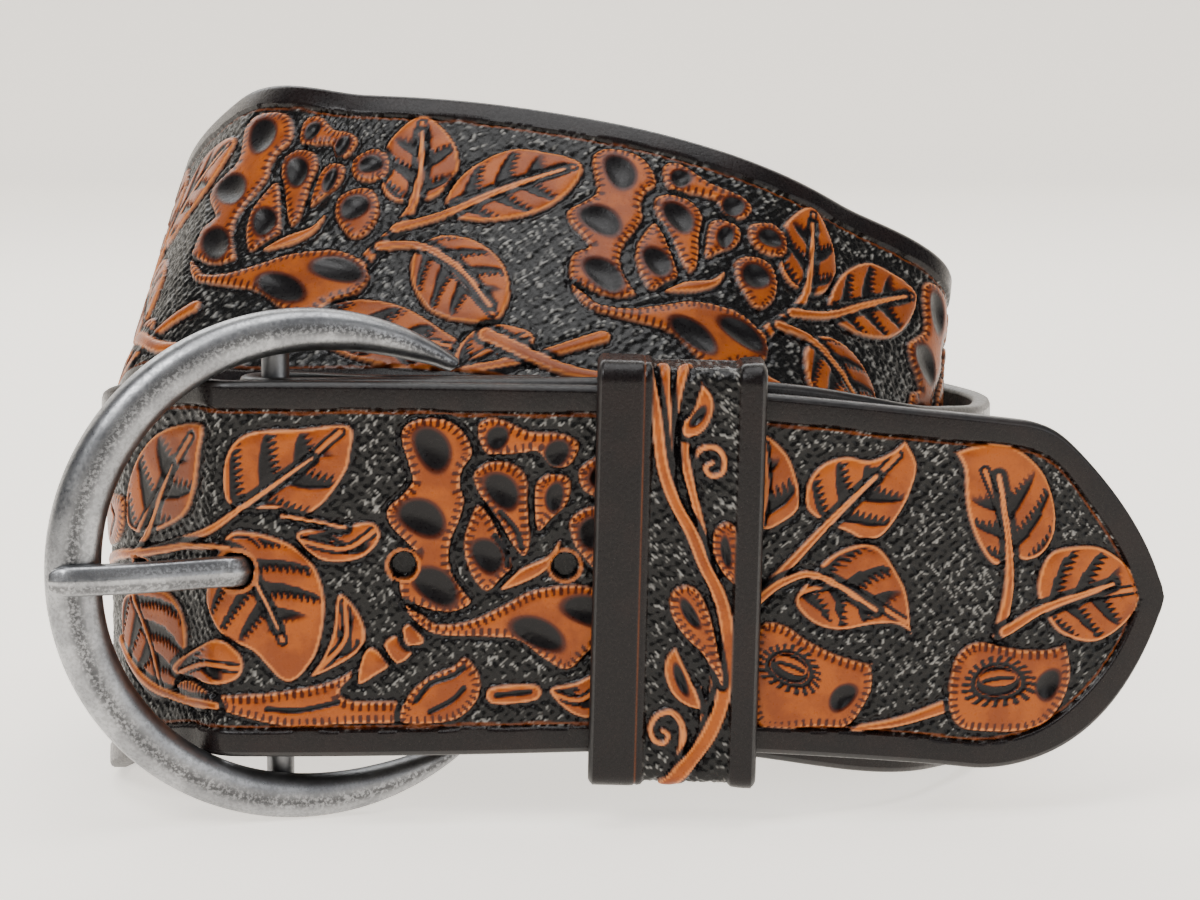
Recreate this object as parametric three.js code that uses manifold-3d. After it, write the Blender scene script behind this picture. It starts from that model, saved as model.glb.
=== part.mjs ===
// Western tooled belt: fastened through its buckle and doubled into a coil of two turns.
// Millimetres, +Z up. The viewer stands at -Y and looks along +Y at the buckle and the tip.
// The model is laid out round a point on the floor below the middle of the front strand,
// and moved as a whole at the end, so that the origin is the middle of the belt's footprint.
import * as THREE from 'three';
import { mergeVertices } from 'three/addons/utils/BufferGeometryUtils.js';
import Module from 'manifold-3d';

const wasm = await Module();
wasm.setup();

// Strap
const strapWidth = 57;
const strapThickness = 3;
const strapEdgeRound = 0.7;        // bevel along the long edges
const tipLength = 27;              // rounded end of the strap
const tipFullness = 0.82;          // 0.5 is a half ellipse, 1 is more pointed
const tipTaper = 0.06;             // share of the width lost between keeper and tip
const tipTaperLength = 110;        // stretch before the rounded end over which it is lost
const ringSpacing = 6;             // distance between sections of the strap
const tipRingSpacing = 1.9;

// Coil
const coilWidth = 140;
const coilDepth = 119;
const coilLeft = -79;              // where the coil begins, left of the layout point
const layerGap = 0.4;              // between the two strands at the front
const foldLength = 40;             // strap folded back behind the bar
const foldStart = 8;               // from the bar to where the fold has become flat again

// Holes for the prong
const holeDiameter = 4;
const holePitch = 24.2;
const holesBeforeProng = 1;
const holesAfterProng = 3;
const usedHoleLength = 7.2;        // the hole in use is pulled long by the prong
const usedHoleSlack = 1.6;         // and is this much taller than the prong is wide

// Buckle
const frameBeyondStrap = 10.5;     // the horseshoe's rim stands this far over the strap's edges
const frameFromLeft = 33.2;        // its centre, right of the coil's left side
const frameWidth = 8.5;            // its widest, seen from the front
const frameDepth = 7.4;            // its deepest, seen from above
const frameThinShare = 0.42;       // a section of no width would have this share of the depth
const frameOpening = 52;           // degrees from the right to each end of the horseshoe
const frameStep = 5;               // degrees between sections of the frame
const barDiameter = 4.2;
const barFromCentre = 3.2;         // the bar lies this far left of the frame's centre
const barBehindFrame = 4.0;        // and this far behind its middle
const barEndShare = 0.42;          // share of the frame's width that covers each end of the bar
const frameTurn = 16;              // degrees: its left side comes forward over the strap
const frameSides = 14;

// Prong
const prongWidth = 4.5;
const prongThickness = 2.4;
const prongLoopWall = 1.6;
const prongPastHole = 4.6;         // from the bar to the middle of the prong's way through the strap
const prongSlotSlack = 0.4;        // room over and under the loop in the folded strap
const prongTipShares = [1, 0.85, 0.45];  // how the shank narrows over its last three sections

// Keeper
const keeperWidth = 25.2;
const keeperWall = 2.2;
const keeperCorner = 2.6;
const keeperFromFrame = 57.3;      // middle of the keeper, right of the frame's centre
const keeperTurn = 1.4;            // degrees: it sits a little askew
const keeperDrop = 0.6;            // and hangs a little low
const keeperSlack = 2.4;           // room for the straps inside, front to back and up

const gap = 0.3;
const holeSides = 20;

// Places that follow from the sizes
const frameRadius = strapWidth / 2 + frameBeyondStrap;
const frontHeight = frameRadius;   // the buckle's rim touches the floor
const frontLayerY = strapThickness + layerGap;
const barRadius = barDiameter / 2;
const barY = frontLayerY + strapThickness / 2 + gap + barRadius;
const foldRadius = barRadius + gap + strapThickness / 2;
const frameX = coilLeft + frameFromLeft;
const barX = frameX - barFromCentre;
const prongHoleX = barX - prongPastHole;

// The strap's way round the coil, from the buckle's bar to the tip. Shares: across of the
// coil's width from its left, back of its depth, up of the strap's width for the height of
// the strap's middle over the floor. Lean is in degrees, its top edge towards the coil's middle.
const turns = [
  { across: 0.422, back: 0, up: 'front', lean: 0, layer: 1 },
  { across: 0.621, back: 0.002, up: 'front', lean: 0, layer: 1 },
  { across: 0.745, back: 0.009, up: 0.668, lean: 0, layer: 1 },
  { across: 0.882, back: 0.082, up: 0.592, lean: 0, layer: 1 },
  { across: 0.948, back: 0.205, up: 0.560, lean: 0 },
  { across: 0.998, back: 0.345, up: 0.530, lean: 0 },
  { across: 1.012, back: 0.600, up: 0.505, lean: 0 },
  { across: 0.907, back: 0.850, up: 0.500, lean: 0 },
  { across: 0.650, back: 0.980, up: 0.500, lean: 0 },
  { across: 0.364, back: 1.000, up: 0.540, lean: 0 },
  { across: 0.130, back: 0.920, up: 0.750, lean: 3 },
  { across: -0.006, back: 0.710, up: 1.120, lean: 12 },
  { across: 0.066, back: 0.435, up: 1.466, lean: 30 },
  { across: 0.214, back: 0.305, up: 1.482, lean: 41 },
  { across: 0.407, back: 0.268, up: 1.482, lean: 43 },
  { across: 0.650, back: 0.258, up: 1.395, lean: 40 },
  { across: 0.839, back: 0.319, up: 1.210, lean: 28 },
  { across: 0.957, back: 0.480, up: 0.912, lean: 4 },
  { across: 0.935, back: 0.680, up: 0.640, lean: 0 },
  { across: 0.815, back: 0.838, up: 0.510, lean: 0 },
  { across: 0.593, back: 0.922, up: 0.500, lean: 0 },
  { across: 0.336, back: 0.930, up: 0.500, lean: 0 },
  { across: 0.150, back: 0.800, up: 0.500, lean: 0 },
  { across: 0.085, back: 0.560, up: 0.500, lean: 0 },
  { across: 0.018, back: 0.330, up: 0.504, lean: 0 },
  { across: 0.037, back: 0.168, up: 0.610, lean: 0 },
  { across: 0.091, back: 0.082, up: 0.668, lean: 0 },
  { across: 0.132, back: 0.034, up: 'front', lean: 0 },
  { across: 0.156, back: 0.003, up: 'front', lean: 0 },
  { across: 0.178, back: 0, up: 'front', lean: 0 },
  { across: 0.422, back: 0, up: 'front', lean: 0 },
  { across: 0.621, back: 0, up: 'front', lean: 0 },
  { across: 0.745, back: 0, up: 0.671, lean: 0 },
  { across: 0.940, back: 0.026, up: 0.634, lean: 0 },
  { across: 1.165, back: 0.085, up: 0.603, lean: 0 },
];

// How wide and deep the horseshoe is, as shares of its largest, by degrees from the right
// over the top. The lower half mirrors the upper one.
const frameSections = [
  { angle: 52, width: 0.15 },
  { angle: 59, width: 0.32 },
  { angle: 66, width: 0.47 },
  { angle: 77, width: 0.67 },
  { angle: 90, width: 0.78 },
  { angle: 125, width: 0.83 },
  { angle: 180, width: 1 },
];

function spline(a, b, c, d, t) {
  const bend = 2 * a - 5 * b + 4 * c - d;
  const swing = 3 * b - a - 3 * c + d;
  return 0.5 * (2 * b + (c - a) * t + bend * t * t + swing * t * t * t);
}

// One place on the strap's middle line
function place(x, y, z, lean, step) {
  return { x, y, z, lean, step };
}

// The folded end's way up to the bar: how much of its length is left, and how far it has come
// from lying on the front layer, at 0, to the top of its turn round the bar, at 1
const foldRows = [
  { left: 1, climb: 0, finer: 1 },
  { left: 0.6, climb: 0, finer: 1 },
  { left: 0.36, climb: 0.11, finer: 2 },
  { left: 0.12, climb: 0.89, finer: 2 },
];

// The strap's end comes back behind the bar, goes round it and starts along the front layer
function foldPlaces() {
  const restY = frontLayerY + strapThickness + gap;
  const topY = barY + foldRadius;
  const places = foldRows.map((row) => place(
    barX + foldLength * row.left,
    THREE.MathUtils.lerp(restY, topY, row.climb),
    frontHeight,
    0,
    ringSpacing / row.finer,
  ));
  const arcSteps = 6;
  for (let k = 0; k <= arcSteps; k += 1) {
    const angle = Math.PI / 2 + (Math.PI * k) / arcSteps;
    places.push(place(barX + foldRadius * Math.cos(angle), barY + foldRadius * Math.sin(angle),
      frontHeight, 0, 1));
  }
  places.push(place(barX + foldStart, frontLayerY, frontHeight, 0, ringSpacing / 2));
  return places;
}

function coilPlaces() {
  return turns.map((row) => place(
    coilLeft + row.across * coilWidth,
    row.back * coilDepth + (row.layer ? frontLayerY : 0),
    row.up === 'front' ? frontHeight : row.up * strapWidth,
    row.lean,
    ringSpacing,
  ));
}

// Runs a smooth line through all places and samples it, never lower than the strap can stand
function strapLine() {
  const places = [...foldPlaces(), ...coilPlaces()];
  const first = places[0];
  const last = places[places.length - 1];
  const before = place(2 * first.x - places[1].x, first.y, first.z, first.lean, first.step);
  const next = places[places.length - 2];
  const after = place(2 * last.x - next.x, 2 * last.y - next.y, 2 * last.z - next.z, last.lean, 1);
  const all = [before, ...places, after];
  const line = [];
  for (let i = 1; i < all.length - 2; i += 1) {
    const [a, b, c, d] = [all[i - 1], all[i], all[i + 1], all[i + 2]];
    const span = Math.hypot(c.x - b.x, c.y - b.y, c.z - b.z);
    const isTip = i === all.length - 3;
    const count = Math.max(1, Math.round(span / (isTip ? tipRingSpacing : b.step)));
    for (let k = 0; k < count; k += 1) {
      const t = k / count;
      line.push({
        point: new THREE.Vector3(spline(a.x, b.x, c.x, d.x, t), spline(a.y, b.y, c.y, d.y, t),
          Math.max(spline(a.z, b.z, c.z, d.z, t), strapWidth / 2)),
        lean: spline(a.lean, b.lean, c.lean, d.lean, t),
      });
    }
  }
  line.push({ point: new THREE.Vector3(last.x, last.y, last.z), lean: last.lean });
  return measured(line);
}

// Adds to each sample its distance along, the way ahead, the way up the strap and the way out
function measured(line) {
  let along = 0;
  line.forEach((sample, i) => {
    if (i > 0) along += sample.point.distanceTo(line[i - 1].point);
    const behind = line[Math.max(0, i - 1)].point;
    const beyond = line[Math.min(line.length - 1, i + 1)].point;
    const ahead = new THREE.Vector3().subVectors(beyond, behind).normalize();
    const upright = new THREE.Vector3(0, 0, 1).addScaledVector(ahead, -ahead.z).normalize();
    const level = new THREE.Vector3().crossVectors(ahead, upright);
    const lean = THREE.MathUtils.degToRad(sample.lean);
    sample.along = along;
    sample.ahead = ahead;
    sample.up = upright.clone().multiplyScalar(Math.cos(lean)).addScaledVector(level, -Math.sin(lean));
    sample.out = level.clone().multiplyScalar(Math.cos(lean)).addScaledVector(upright, Math.sin(lean));
  });
  return line;
}

// The strap's half width at a distance from its tip
function halfWidth(fromTip) {
  const taper = tipTaper * (1 - THREE.MathUtils.smoothstep(fromTip, tipLength, tipLength + tipTaperLength));
  const full = (strapWidth / 2) * (1 - taper);
  if (fromTip >= tipLength) return full;
  const t = 1 - fromTip / tipLength;
  return Math.max(full * Math.pow(1 - t * t, tipFullness), strapThickness * 0.75);
}

// A closed body over rings of points, each ring running the same way round
function lofted(rings) {
  const sides = rings[0].length;
  const positions = rings.flat().flatMap((point) => [point.x, point.y, point.z]);
  const index = [];
  for (let i = 0; i < rings.length - 1; i += 1) {
    for (let j = 0; j < sides; j += 1) {
      const a = i * sides + j;
      const b = i * sides + ((j + 1) % sides);
      index.push(a, b, b + sides, a, b + sides, a + sides);
    }
  }
  const end = (rings.length - 1) * sides;
  for (let j = 1; j < sides - 1; j += 1) {
    index.push(0, j + 1, j);
    index.push(end, end + j, end + j + 1);
  }
  const geometry = new THREE.BufferGeometry();
  geometry.setAttribute('position', new THREE.Float32BufferAttribute(positions, 3));
  geometry.setIndex(index);
  return geometry;
}

function solidOf(geometry) {
  const bare = geometry.clone();
  bare.deleteAttribute('normal');
  bare.deleteAttribute('uv');
  const merged = mergeVertices(bare, 1e-4);
  return new wasm.Manifold(new wasm.Mesh({
    numProp: 3,
    vertProperties: new Float32Array(merged.attributes.position.array),
    triVerts: new Uint32Array(merged.index.array),
  }));
}

function geometryOf(solid) {
  const mesh = solid.getMesh();
  const geometry = new THREE.BufferGeometry();
  geometry.setAttribute('position', new THREE.BufferAttribute(mesh.vertProperties, 3));
  geometry.setIndex(new THREE.BufferAttribute(mesh.triVerts, 1));
  geometry.computeVertexNormals();
  return geometry;
}

function strapRing(sample, total) {
  const half = halfWidth(total - sample.along);
  const side = strapThickness / 2;
  const outline = [
    [half, -side + strapEdgeRound], [half, side - strapEdgeRound],
    [half - strapEdgeRound, side], [-half + strapEdgeRound, side],
    [-half, side - strapEdgeRound], [-half, -side + strapEdgeRound],
    [-half + strapEdgeRound, -side], [half - strapEdgeRound, -side],
  ];
  return outline.map(([up, out]) => sample.point.clone()
    .addScaledVector(sample.up, up).addScaledVector(sample.out, out));
}

// The distance along at which the tip's strand passes a place across the front
function alongAt(line, x) {
  for (let i = line.length - 1; i > 0; i -= 1) {
    const right = line[i];
    const left = line[i - 1];
    if (left.point.x <= x && right.point.x >= x) {
      const t = (x - left.point.x) / (right.point.x - left.point.x);
      return left.along + t * (right.along - left.along);
    }
  }
  return 0;
}

function sampleAt(line, along) {
  const i = Math.max(1, line.findIndex((sample) => sample.along >= along));
  const [a, b] = [line[i - 1], line[i]];
  const t = (along - a.along) / (b.along - a.along);
  return { point: a.point.clone().lerp(b.point, t), out: b.out, ahead: b.ahead, up: b.up };
}

// A punch through the strap at a distance along it
function punch(line, along, length, height) {
  const { point, out, ahead, up } = sampleAt(line, along);
  const tool = new THREE.CylinderGeometry(0.5, 0.5, strapThickness * 2, holeSides);
  tool.scale(length, 1, height);
  const turn = new THREE.Matrix4().makeBasis(ahead, out, new THREE.Vector3().crossVectors(ahead, out));
  tool.applyMatrix4(turn.setPosition(point));
  return solidOf(tool);
}

function boxSolid(lowest, highest) {
  const size = new THREE.Vector3().subVectors(highest, lowest);
  const box = new THREE.BoxGeometry(size.x, size.y, size.z);
  const middle = new THREE.Vector3().addVectors(lowest, highest).multiplyScalar(0.5);
  return solidOf(box.translate(middle.x, middle.y, middle.z));
}

function strapGeometry(line) {
  const total = line[line.length - 1].along;
  let strap = solidOf(lofted(line.map((sample) => strapRing(sample, total))));
  const inUse = alongAt(line, prongHoleX);
  strap = strap.subtract(punch(line, inUse, usedHoleLength, prongWidth + usedHoleSlack));
  for (let k = -holesBeforeProng; k <= holesAfterProng; k += 1) {
    if (k !== 0) strap = strap.subtract(punch(line, inUse + k * holePitch, holeDiameter, holeDiameter));
  }
  const slotHalf = prongWidth / 2 + prongSlotSlack;
  const reach = barRadius + gap + prongLoopWall + gap;
  const slot = boxSolid(
    new THREE.Vector3(barX - foldRadius - strapThickness, strapThickness / 2 + gap / 2, frontHeight - slotHalf),
    new THREE.Vector3(barX + reach, barY + foldRadius + strapThickness, frontHeight + slotHalf),
  );
  return geometryOf(strap.subtract(slot));
}

function frameShare(angle) {
  const upper = angle > 180 ? 360 - angle : angle;
  const last = frameSections.length - 1;
  const found = frameSections.findIndex((row) => row.angle >= upper);
  const i = Math.max(1, found < 0 ? last : found);
  const [a, b] = [frameSections[i - 1], frameSections[i]];
  return THREE.MathUtils.lerp(a.width, b.width, (upper - a.angle) / (b.angle - a.angle));
}

function frameRing(angle) {
  const share = frameShare(angle);
  const width = frameWidth * share;
  const depth = frameDepth * THREE.MathUtils.lerp(frameThinShare, 1, share);
  const turn = THREE.MathUtils.degToRad(angle);
  const radial = new THREE.Vector3(Math.cos(turn), 0, Math.sin(turn));
  const centre = new THREE.Vector3(barFromCentre, -barBehindFrame, 0)
    .addScaledVector(radial, frameRadius - width / 2);
  const ring = [];
  for (let j = 0; j < frameSides; j += 1) {
    const around = (2 * Math.PI * j) / frameSides;
    ring.push(centre.clone()
      .addScaledVector(radial, (width / 2) * Math.cos(around))
      .add(new THREE.Vector3(0, (depth / 2) * Math.sin(around), 0)));
  }
  return ring;
}

// Horseshoe and bar are one casting
function frameGeometry() {
  const rings = [];
  const count = Math.round((360 - 2 * frameOpening) / frameStep);
  for (let k = 0; k <= count; k += 1) {
    rings.push(frameRing(frameOpening + ((360 - 2 * frameOpening) * k) / count));
  }
  const arc = lofted(rings).rotateZ(THREE.MathUtils.degToRad(frameTurn));
  const horseshoe = solidOf(arc.translate(barX, barY, frontHeight));
  const barHeight = 2 * (frameRadius - frameWidth * barEndShare);
  const bar = new THREE.CylinderGeometry(barRadius, barRadius, barHeight, 16).rotateX(Math.PI / 2);
  return geometryOf(horseshoe.add(solidOf(bar.translate(barX, barY, frontHeight))));
}

// The shank's way: out of the loop, through the strap, and left over the frame's side
function shankPlaces() {
  const frontFace = -strapThickness / 2 - gap - prongThickness / 2;
  const loopMiddle = barRadius + gap + prongLoopWall / 2;
  const turn = THREE.MathUtils.degToRad(frameTurn);
  const offFrame = barBehindFrame + frameDepth / 2 + gap + prongThickness / 2;
  const onFrame = (inward, lower) => {
    const left = frameRadius - barFromCentre - inward;
    const forward = offFrame - lower;
    return [
      barX - left * Math.cos(turn) + forward * Math.sin(turn),
      barY - left * Math.sin(turn) - forward * Math.cos(turn),
    ];
  };
  return [
    [barX - loopMiddle * 0.98, barY - loopMiddle * 0.45],
    [prongHoleX + 0.5, strapThickness * 0.6],
    [prongHoleX + 0.1, -strapThickness * 0.3],
    [prongHoleX - 1.2, frontFace * 0.8],
    [prongHoleX - 3.4, frontFace],
    onFrame(frameWidth * 1.6, 0),
    onFrame(frameWidth * 0.5, 0),
    onFrame(frameWidth * 0.2, 0.5),
    onFrame(frameWidth * 0.02, 1.1),
  ];
}

// Across the prong: share of its width and of its thickness, flat behind and ridged in front
const prongSection = [
  { up: 0.5, out: -0.5 },
  { up: 0.5, out: 0.05 },
  { up: 0.38, out: 0.34 },
  { up: 0, out: 0.5 },
  { up: -0.38, out: 0.34 },
  { up: -0.5, out: 0.05 },
  { up: -0.5, out: -0.5 },
];

function prongGeometry() {
  const places = shankPlaces().map(([x, y]) => new THREE.Vector3(x, y, frontHeight));
  const rings = places.map((point, i) => {
    const behind = places[Math.max(0, i - 1)];
    const beyond = places[Math.min(places.length - 1, i + 1)];
    const ahead = new THREE.Vector3().subVectors(beyond, behind).normalize();
    const out = new THREE.Vector3(ahead.y, -ahead.x, 0).negate();
    const fromTip = places.length - 1 - i;
    const narrow = prongTipShares[Math.max(0, prongTipShares.length - 1 - fromTip)];
    return prongSection.map((row) => point.clone()
      .addScaledVector(out, -row.out * prongThickness * narrow)
      .add(new THREE.Vector3(0, 0, row.up * prongWidth * narrow)));
  });
  const shank = solidOf(lofted(rings));
  const loopShape = new THREE.Shape().absarc(0, 0, barRadius + gap + prongLoopWall, 0, 2 * Math.PI, false);
  loopShape.holes.push(new THREE.Path().absarc(0, 0, barRadius + gap, 0, 2 * Math.PI, true));
  const loop = new THREE.ExtrudeGeometry(loopShape, { depth: prongWidth, bevelEnabled: false, curveSegments: 10 });
  loop.translate(barX, barY, frontHeight - prongWidth / 2);
  const bore = new THREE.CylinderGeometry(barRadius + gap, barRadius + gap, prongWidth * 2, 20);
  bore.rotateX(Math.PI / 2).translate(barX, barY, frontHeight);
  return geometryOf(shank.add(solidOf(loop)).subtract(solidOf(bore)));
}

// A rounded rectangle, drawn in depth and height
function roundedOutline(depth, height, corner, Kind) {
  const outline = new Kind();
  const [x, y] = [depth / 2, height / 2];
  outline.moveTo(-x + corner, -y);
  outline.lineTo(x - corner, -y);
  outline.absarc(x - corner, -y + corner, corner, -Math.PI / 2, 0, false);
  outline.lineTo(x, y - corner);
  outline.absarc(x - corner, y - corner, corner, 0, Math.PI / 2, false);
  outline.lineTo(-x + corner, y);
  outline.absarc(-x + corner, y - corner, corner, Math.PI / 2, Math.PI, false);
  outline.lineTo(-x, -y + corner);
  outline.absarc(-x + corner, -y + corner, corner, Math.PI, 1.5 * Math.PI, false);
  return outline;
}

// The keeper goes round the tip's strand and the strand behind it
function keeperGeometry() {
  const innerDepth = strapThickness / 2 + frontLayerY + strapThickness / 2 + keeperSlack;
  const innerHeight = strapWidth + keeperSlack;
  const outer = roundedOutline(innerDepth + 2 * keeperWall, innerHeight + 2 * keeperWall, keeperCorner, THREE.Shape);
  outer.holes.push(roundedOutline(innerDepth, innerHeight, keeperCorner - keeperWall / 2, THREE.Path));
  const loop = new THREE.ExtrudeGeometry(outer, { depth: keeperWidth, bevelEnabled: false, curveSegments: 4 });
  loop.translate(0, 0, -keeperWidth / 2);
  loop.applyMatrix4(new THREE.Matrix4().makeBasis(
    new THREE.Vector3(0, 1, 0), new THREE.Vector3(0, 0, 1), new THREE.Vector3(1, 0, 0)));
  loop.rotateY(THREE.MathUtils.degToRad(keeperTurn));
  const middleY = -strapThickness / 2 - 2 * gap + innerDepth / 2;
  loop.translate(frameX + keeperFromFrame, middleY, frontHeight - keeperDrop);
  return geometryOf(solidOf(loop));
}

function named(name, geometry, color, roughness, metalness) {
  const mesh = new THREE.Mesh(geometry, new THREE.MeshStandardMaterial({ color, roughness, metalness }));
  mesh.name = name;
  return mesh;
}

const belt = new THREE.Group();
belt.add(named('strap', strapGeometry(strapLine()), 0x7a4020, 0.5, 0));
belt.add(named('buckle_frame', frameGeometry(), 0x9a9c9d, 0.35, 1));
belt.add(named('buckle_prong', prongGeometry(), 0x9a9c9d, 0.35, 1));
belt.add(named('keeper', keeperGeometry(), 0x2a2220, 0.45, 0));

// The origin is the middle of the footprint
const extent = new THREE.Box3().setFromObject(belt);
const middle = extent.getCenter(new THREE.Vector3());
belt.children.forEach((mesh) => mesh.position.set(-middle.x, -middle.y, -extent.min.z));

export default belt;
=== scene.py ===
import math

import bpy
import numpy as np
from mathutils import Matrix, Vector, kdtree


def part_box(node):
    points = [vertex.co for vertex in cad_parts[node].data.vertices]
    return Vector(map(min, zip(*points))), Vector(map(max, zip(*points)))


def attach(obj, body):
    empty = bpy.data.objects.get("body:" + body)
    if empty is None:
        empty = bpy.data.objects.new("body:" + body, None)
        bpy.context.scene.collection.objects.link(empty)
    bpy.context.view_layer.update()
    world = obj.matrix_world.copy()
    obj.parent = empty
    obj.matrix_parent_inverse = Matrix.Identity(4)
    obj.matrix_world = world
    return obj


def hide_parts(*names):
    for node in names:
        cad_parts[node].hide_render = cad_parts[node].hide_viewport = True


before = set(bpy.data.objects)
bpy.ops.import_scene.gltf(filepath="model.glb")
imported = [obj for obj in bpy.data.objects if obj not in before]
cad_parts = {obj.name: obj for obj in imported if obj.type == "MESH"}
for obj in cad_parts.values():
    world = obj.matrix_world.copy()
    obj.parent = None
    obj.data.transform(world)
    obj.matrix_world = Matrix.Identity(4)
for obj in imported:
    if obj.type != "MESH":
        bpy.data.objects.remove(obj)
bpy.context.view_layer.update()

# Lengths are in millimetres, round a point on the floor below the middle of the front strand.
# They become metres in the row frame when a mesh is made.
STRAP_WIDTH = 57.0
STRAP_THICKNESS = 3.0
TIP_LENGTH = 27.0       # the stretch in which the tip narrows to its end
TIP_FULLNESS = 0.74     # the smaller, the fuller the tip's sides
TIP_ROUNDING = 0.5      # the larger, the rounder the tip's point
TIP_END = 0.5           # half the width of the last row
TIP_TAPER = 0.06        # share by which the strap has narrowed where the tip starts
TIP_TAPER_LENGTH = 110.0
TIP_OUTLINE_LENGTH = 50.0
EDGE_ROUND = 0.8
BACK_COLUMNS = 8
EDGE_STEPS = [(0.25, 1.32), (0.0, 0.85), (0.0, -0.85), (0.25, -1.32)]    # inset, and way out

COIL_WIDTH = 140.0
COIL_DEPTH = 119.0
COIL_LEFT = -79.0
FRONT_HEIGHT = 39.0
FRONT_LAYER_Y = 3.4
FOLD_LENGTH = 40.0
FOLD_RADIUS = 3.9
FOLD_START = 8.0        # from the bar to where the fold has become flat again
PATH_STEP = 0.5
FOLD_SAMPLES = 160      # the path's first steps, which hold the fold
BEND_SAMPLES = 25

BAR_X = -49.0
BAR_Y = 7.3
BAR_RADIUS = 2.1
BAR_FROM_CENTRE = 3.2
BAR_BEHIND_FRAME = 4.0
BAR_BEVEL = 0.4
GAP = 0.3

FRAME_RADIUS = 39.0
FRAME_WIDTH = 8.5
FRAME_DEPTH = 7.4
FRAME_OPENING = 52      # degrees from the open side to each end
FRAME_TURN = math.radians(16)
FRAME_THIN_SHARE = 0.42     # depth that is left where the frame has no width
BAR_END_SHARE = 0.42        # of the frame's width, from its rim to the bar's end
FRAME_SIDES = 48
SECTION_POWER = 0.86        # under 1 for a section squarer than an oval
FRAME_SHARES = [
    # degrees from the open side, share of the full width
    (52, 0.24), (56, 0.40), (66, 0.58), (77, 0.70), (90, 0.78), (125, 0.85), (180, 1),
]
FRAME_CAP_STEPS = [0.0, 0.35, 0.6, 0.8, 0.93]

PRONG_REACH = 4.0
PRONG_WIDTH = 4.5
PRONG_THICKNESS = 2.4
PRONG_LOOP_WALL = 1.6
PRONG_PAST_HOLE = 4.6
PRONG_TIP_LENGTH = 3.2
PRONG_HALF_SECTION = [
    # shares of the prong's width and thickness
    (0.47, -0.5), (0.5, -0.3), (0.5, 0.0), (0.44, 0.2), (0.3, 0.34), (0.16, 0.43),
]
LOOP_SIDES = 48

KEEPER_CENTRE = (11.5, 2.3, 38.4)
KEEPER_WIDTH = 25.2
KEEPER_DEPTH = 13.2
KEEPER_HEIGHT = 63.8
KEEPER_WALL = 2.2
KEEPER_CORNER = 2.6
KEEPER_CORNER_STEPS = 8
KEEPER_TURN = math.radians(1.4)
KEEPER_COLUMNS = 80
KEEPER_FACE_INSET = 0.7
KEEPER_FRONT_SPACING = 0.32
KEEPER_SPACING = 0.9
KEEPER_SIDE_STEPS = [(0.2, 0.18), (0.0, 0.6), (0.0, 1.6), (0.3, KEEPER_WALL)]    # inset, and depth

# The relief of the tooling
GROUND_DEPTH = 0.58
MATTING_RISE = 0.34
MATTING_PITCH = 1.7
MOAT_DEPTH = 0.16
SHAPE_FOOT = 0.12
SHAPE_RISE = 0.34
TICK_PITCH = 1.15
TICK_DEPTH = 0.12
TICKED_FROM = 1.8       # half the width from which a shape has ticks
CUT_DEPTH = 0.3
HOLLOW_DEPTH = 0.62
BORDER_WIDTH = 4.1
HOLE_PITCH = 24.2
HOLE_RADIUS = 2.0
HOLE_DEPTH = 2.55
USED_HOLE_RADIUS = 2.7      # the prong has pulled its hole wider and to the left
USED_HOLE_SHIFT = 0.9

# The camera and the photograph's picture
TARGET = np.array([0.0, 0.0, 57.1])
ELEVATION = math.radians(8)
DISTANCE = 500.0
FOCAL_PIXELS = 3350.0
PICTURE_SIZE = (1200, 900)
PIXELS_PER_MM = 6.7
PIXELS_PER_MM_UP = 6.63
LOOKUP_STEP = 0.4

# Along the strap, from its folded end to its tip
UPPER_TURN_START = 392.0
UPPER_TURN_END = 622.0
TIP_TURN_START = 796.0
TIP_TOOLING_START = TIP_TURN_START + 14
LAST_FLOWER = TIP_TURN_START - 30

# The strap's way: across of the coil's width, back of its depth, height of the strap's middle
# in strap widths (0 for the front's height), lean in degrees, and 1 on the front layer
TURNS = [
    (0.422, 0, 0, 0, 1), (0.621, 0.002, 0, 0, 1), (0.745, 0.009, 0.668, 0, 1),
    (0.882, 0.082, 0.592, 0, 1), (0.948, 0.205, 0.560, 0, 0), (0.998, 0.345, 0.530, 0, 0),
    (1.012, 0.600, 0.505, 0, 0), (0.907, 0.850, 0.500, 0, 0), (0.650, 0.980, 0.500, 0, 0),
    (0.364, 1.000, 0.540, 0, 0), (0.130, 0.920, 0.750, 3, 0), (0.014, 0.710, 1.120, 12, 0),
    (0.086, 0.440, 1.470, 32, 0), (0.232, 0.305, 1.493, 37.7, 0), (0.407, 0.268, 1.488, 41.2, 0),
    (0.640, 0.258, 1.392, 41.3, 0), (0.830, 0.319, 1.189, 31.6, 0), (0.957, 0.480, 0.912, 4, 0),
    (0.935, 0.680, 0.640, 0, 0), (0.815, 0.838, 0.510, 0, 0), (0.593, 0.922, 0.500, 0, 0),
    (0.336, 0.930, 0.500, 0, 0), (0.150, 0.800, 0.500, 0, 0), (0.085, 0.560, 0.500, 0, 0),
    (0.018, 0.330, 0.504, 0, 0), (0.037, 0.168, 0.610, 0, 0), (0.091, 0.082, 0.668, 0, 0),
    (0.132, 0.034, 0, 0, 0), (0.156, 0.003, 0, 0, 0), (0.178, 0, 0, 0, 0),
    (0.422, 0, 0, 0, 0), (0.621, 0, 0, 0, 0), (0.745, 0, 0.671, 0, 0),
    (0.940, 0.026, 0.622, 0, 0), (1.060, 0.056, 0.584, 0, 0), (1.181, 0.089, 0.581, 0, 0),
]

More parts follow.
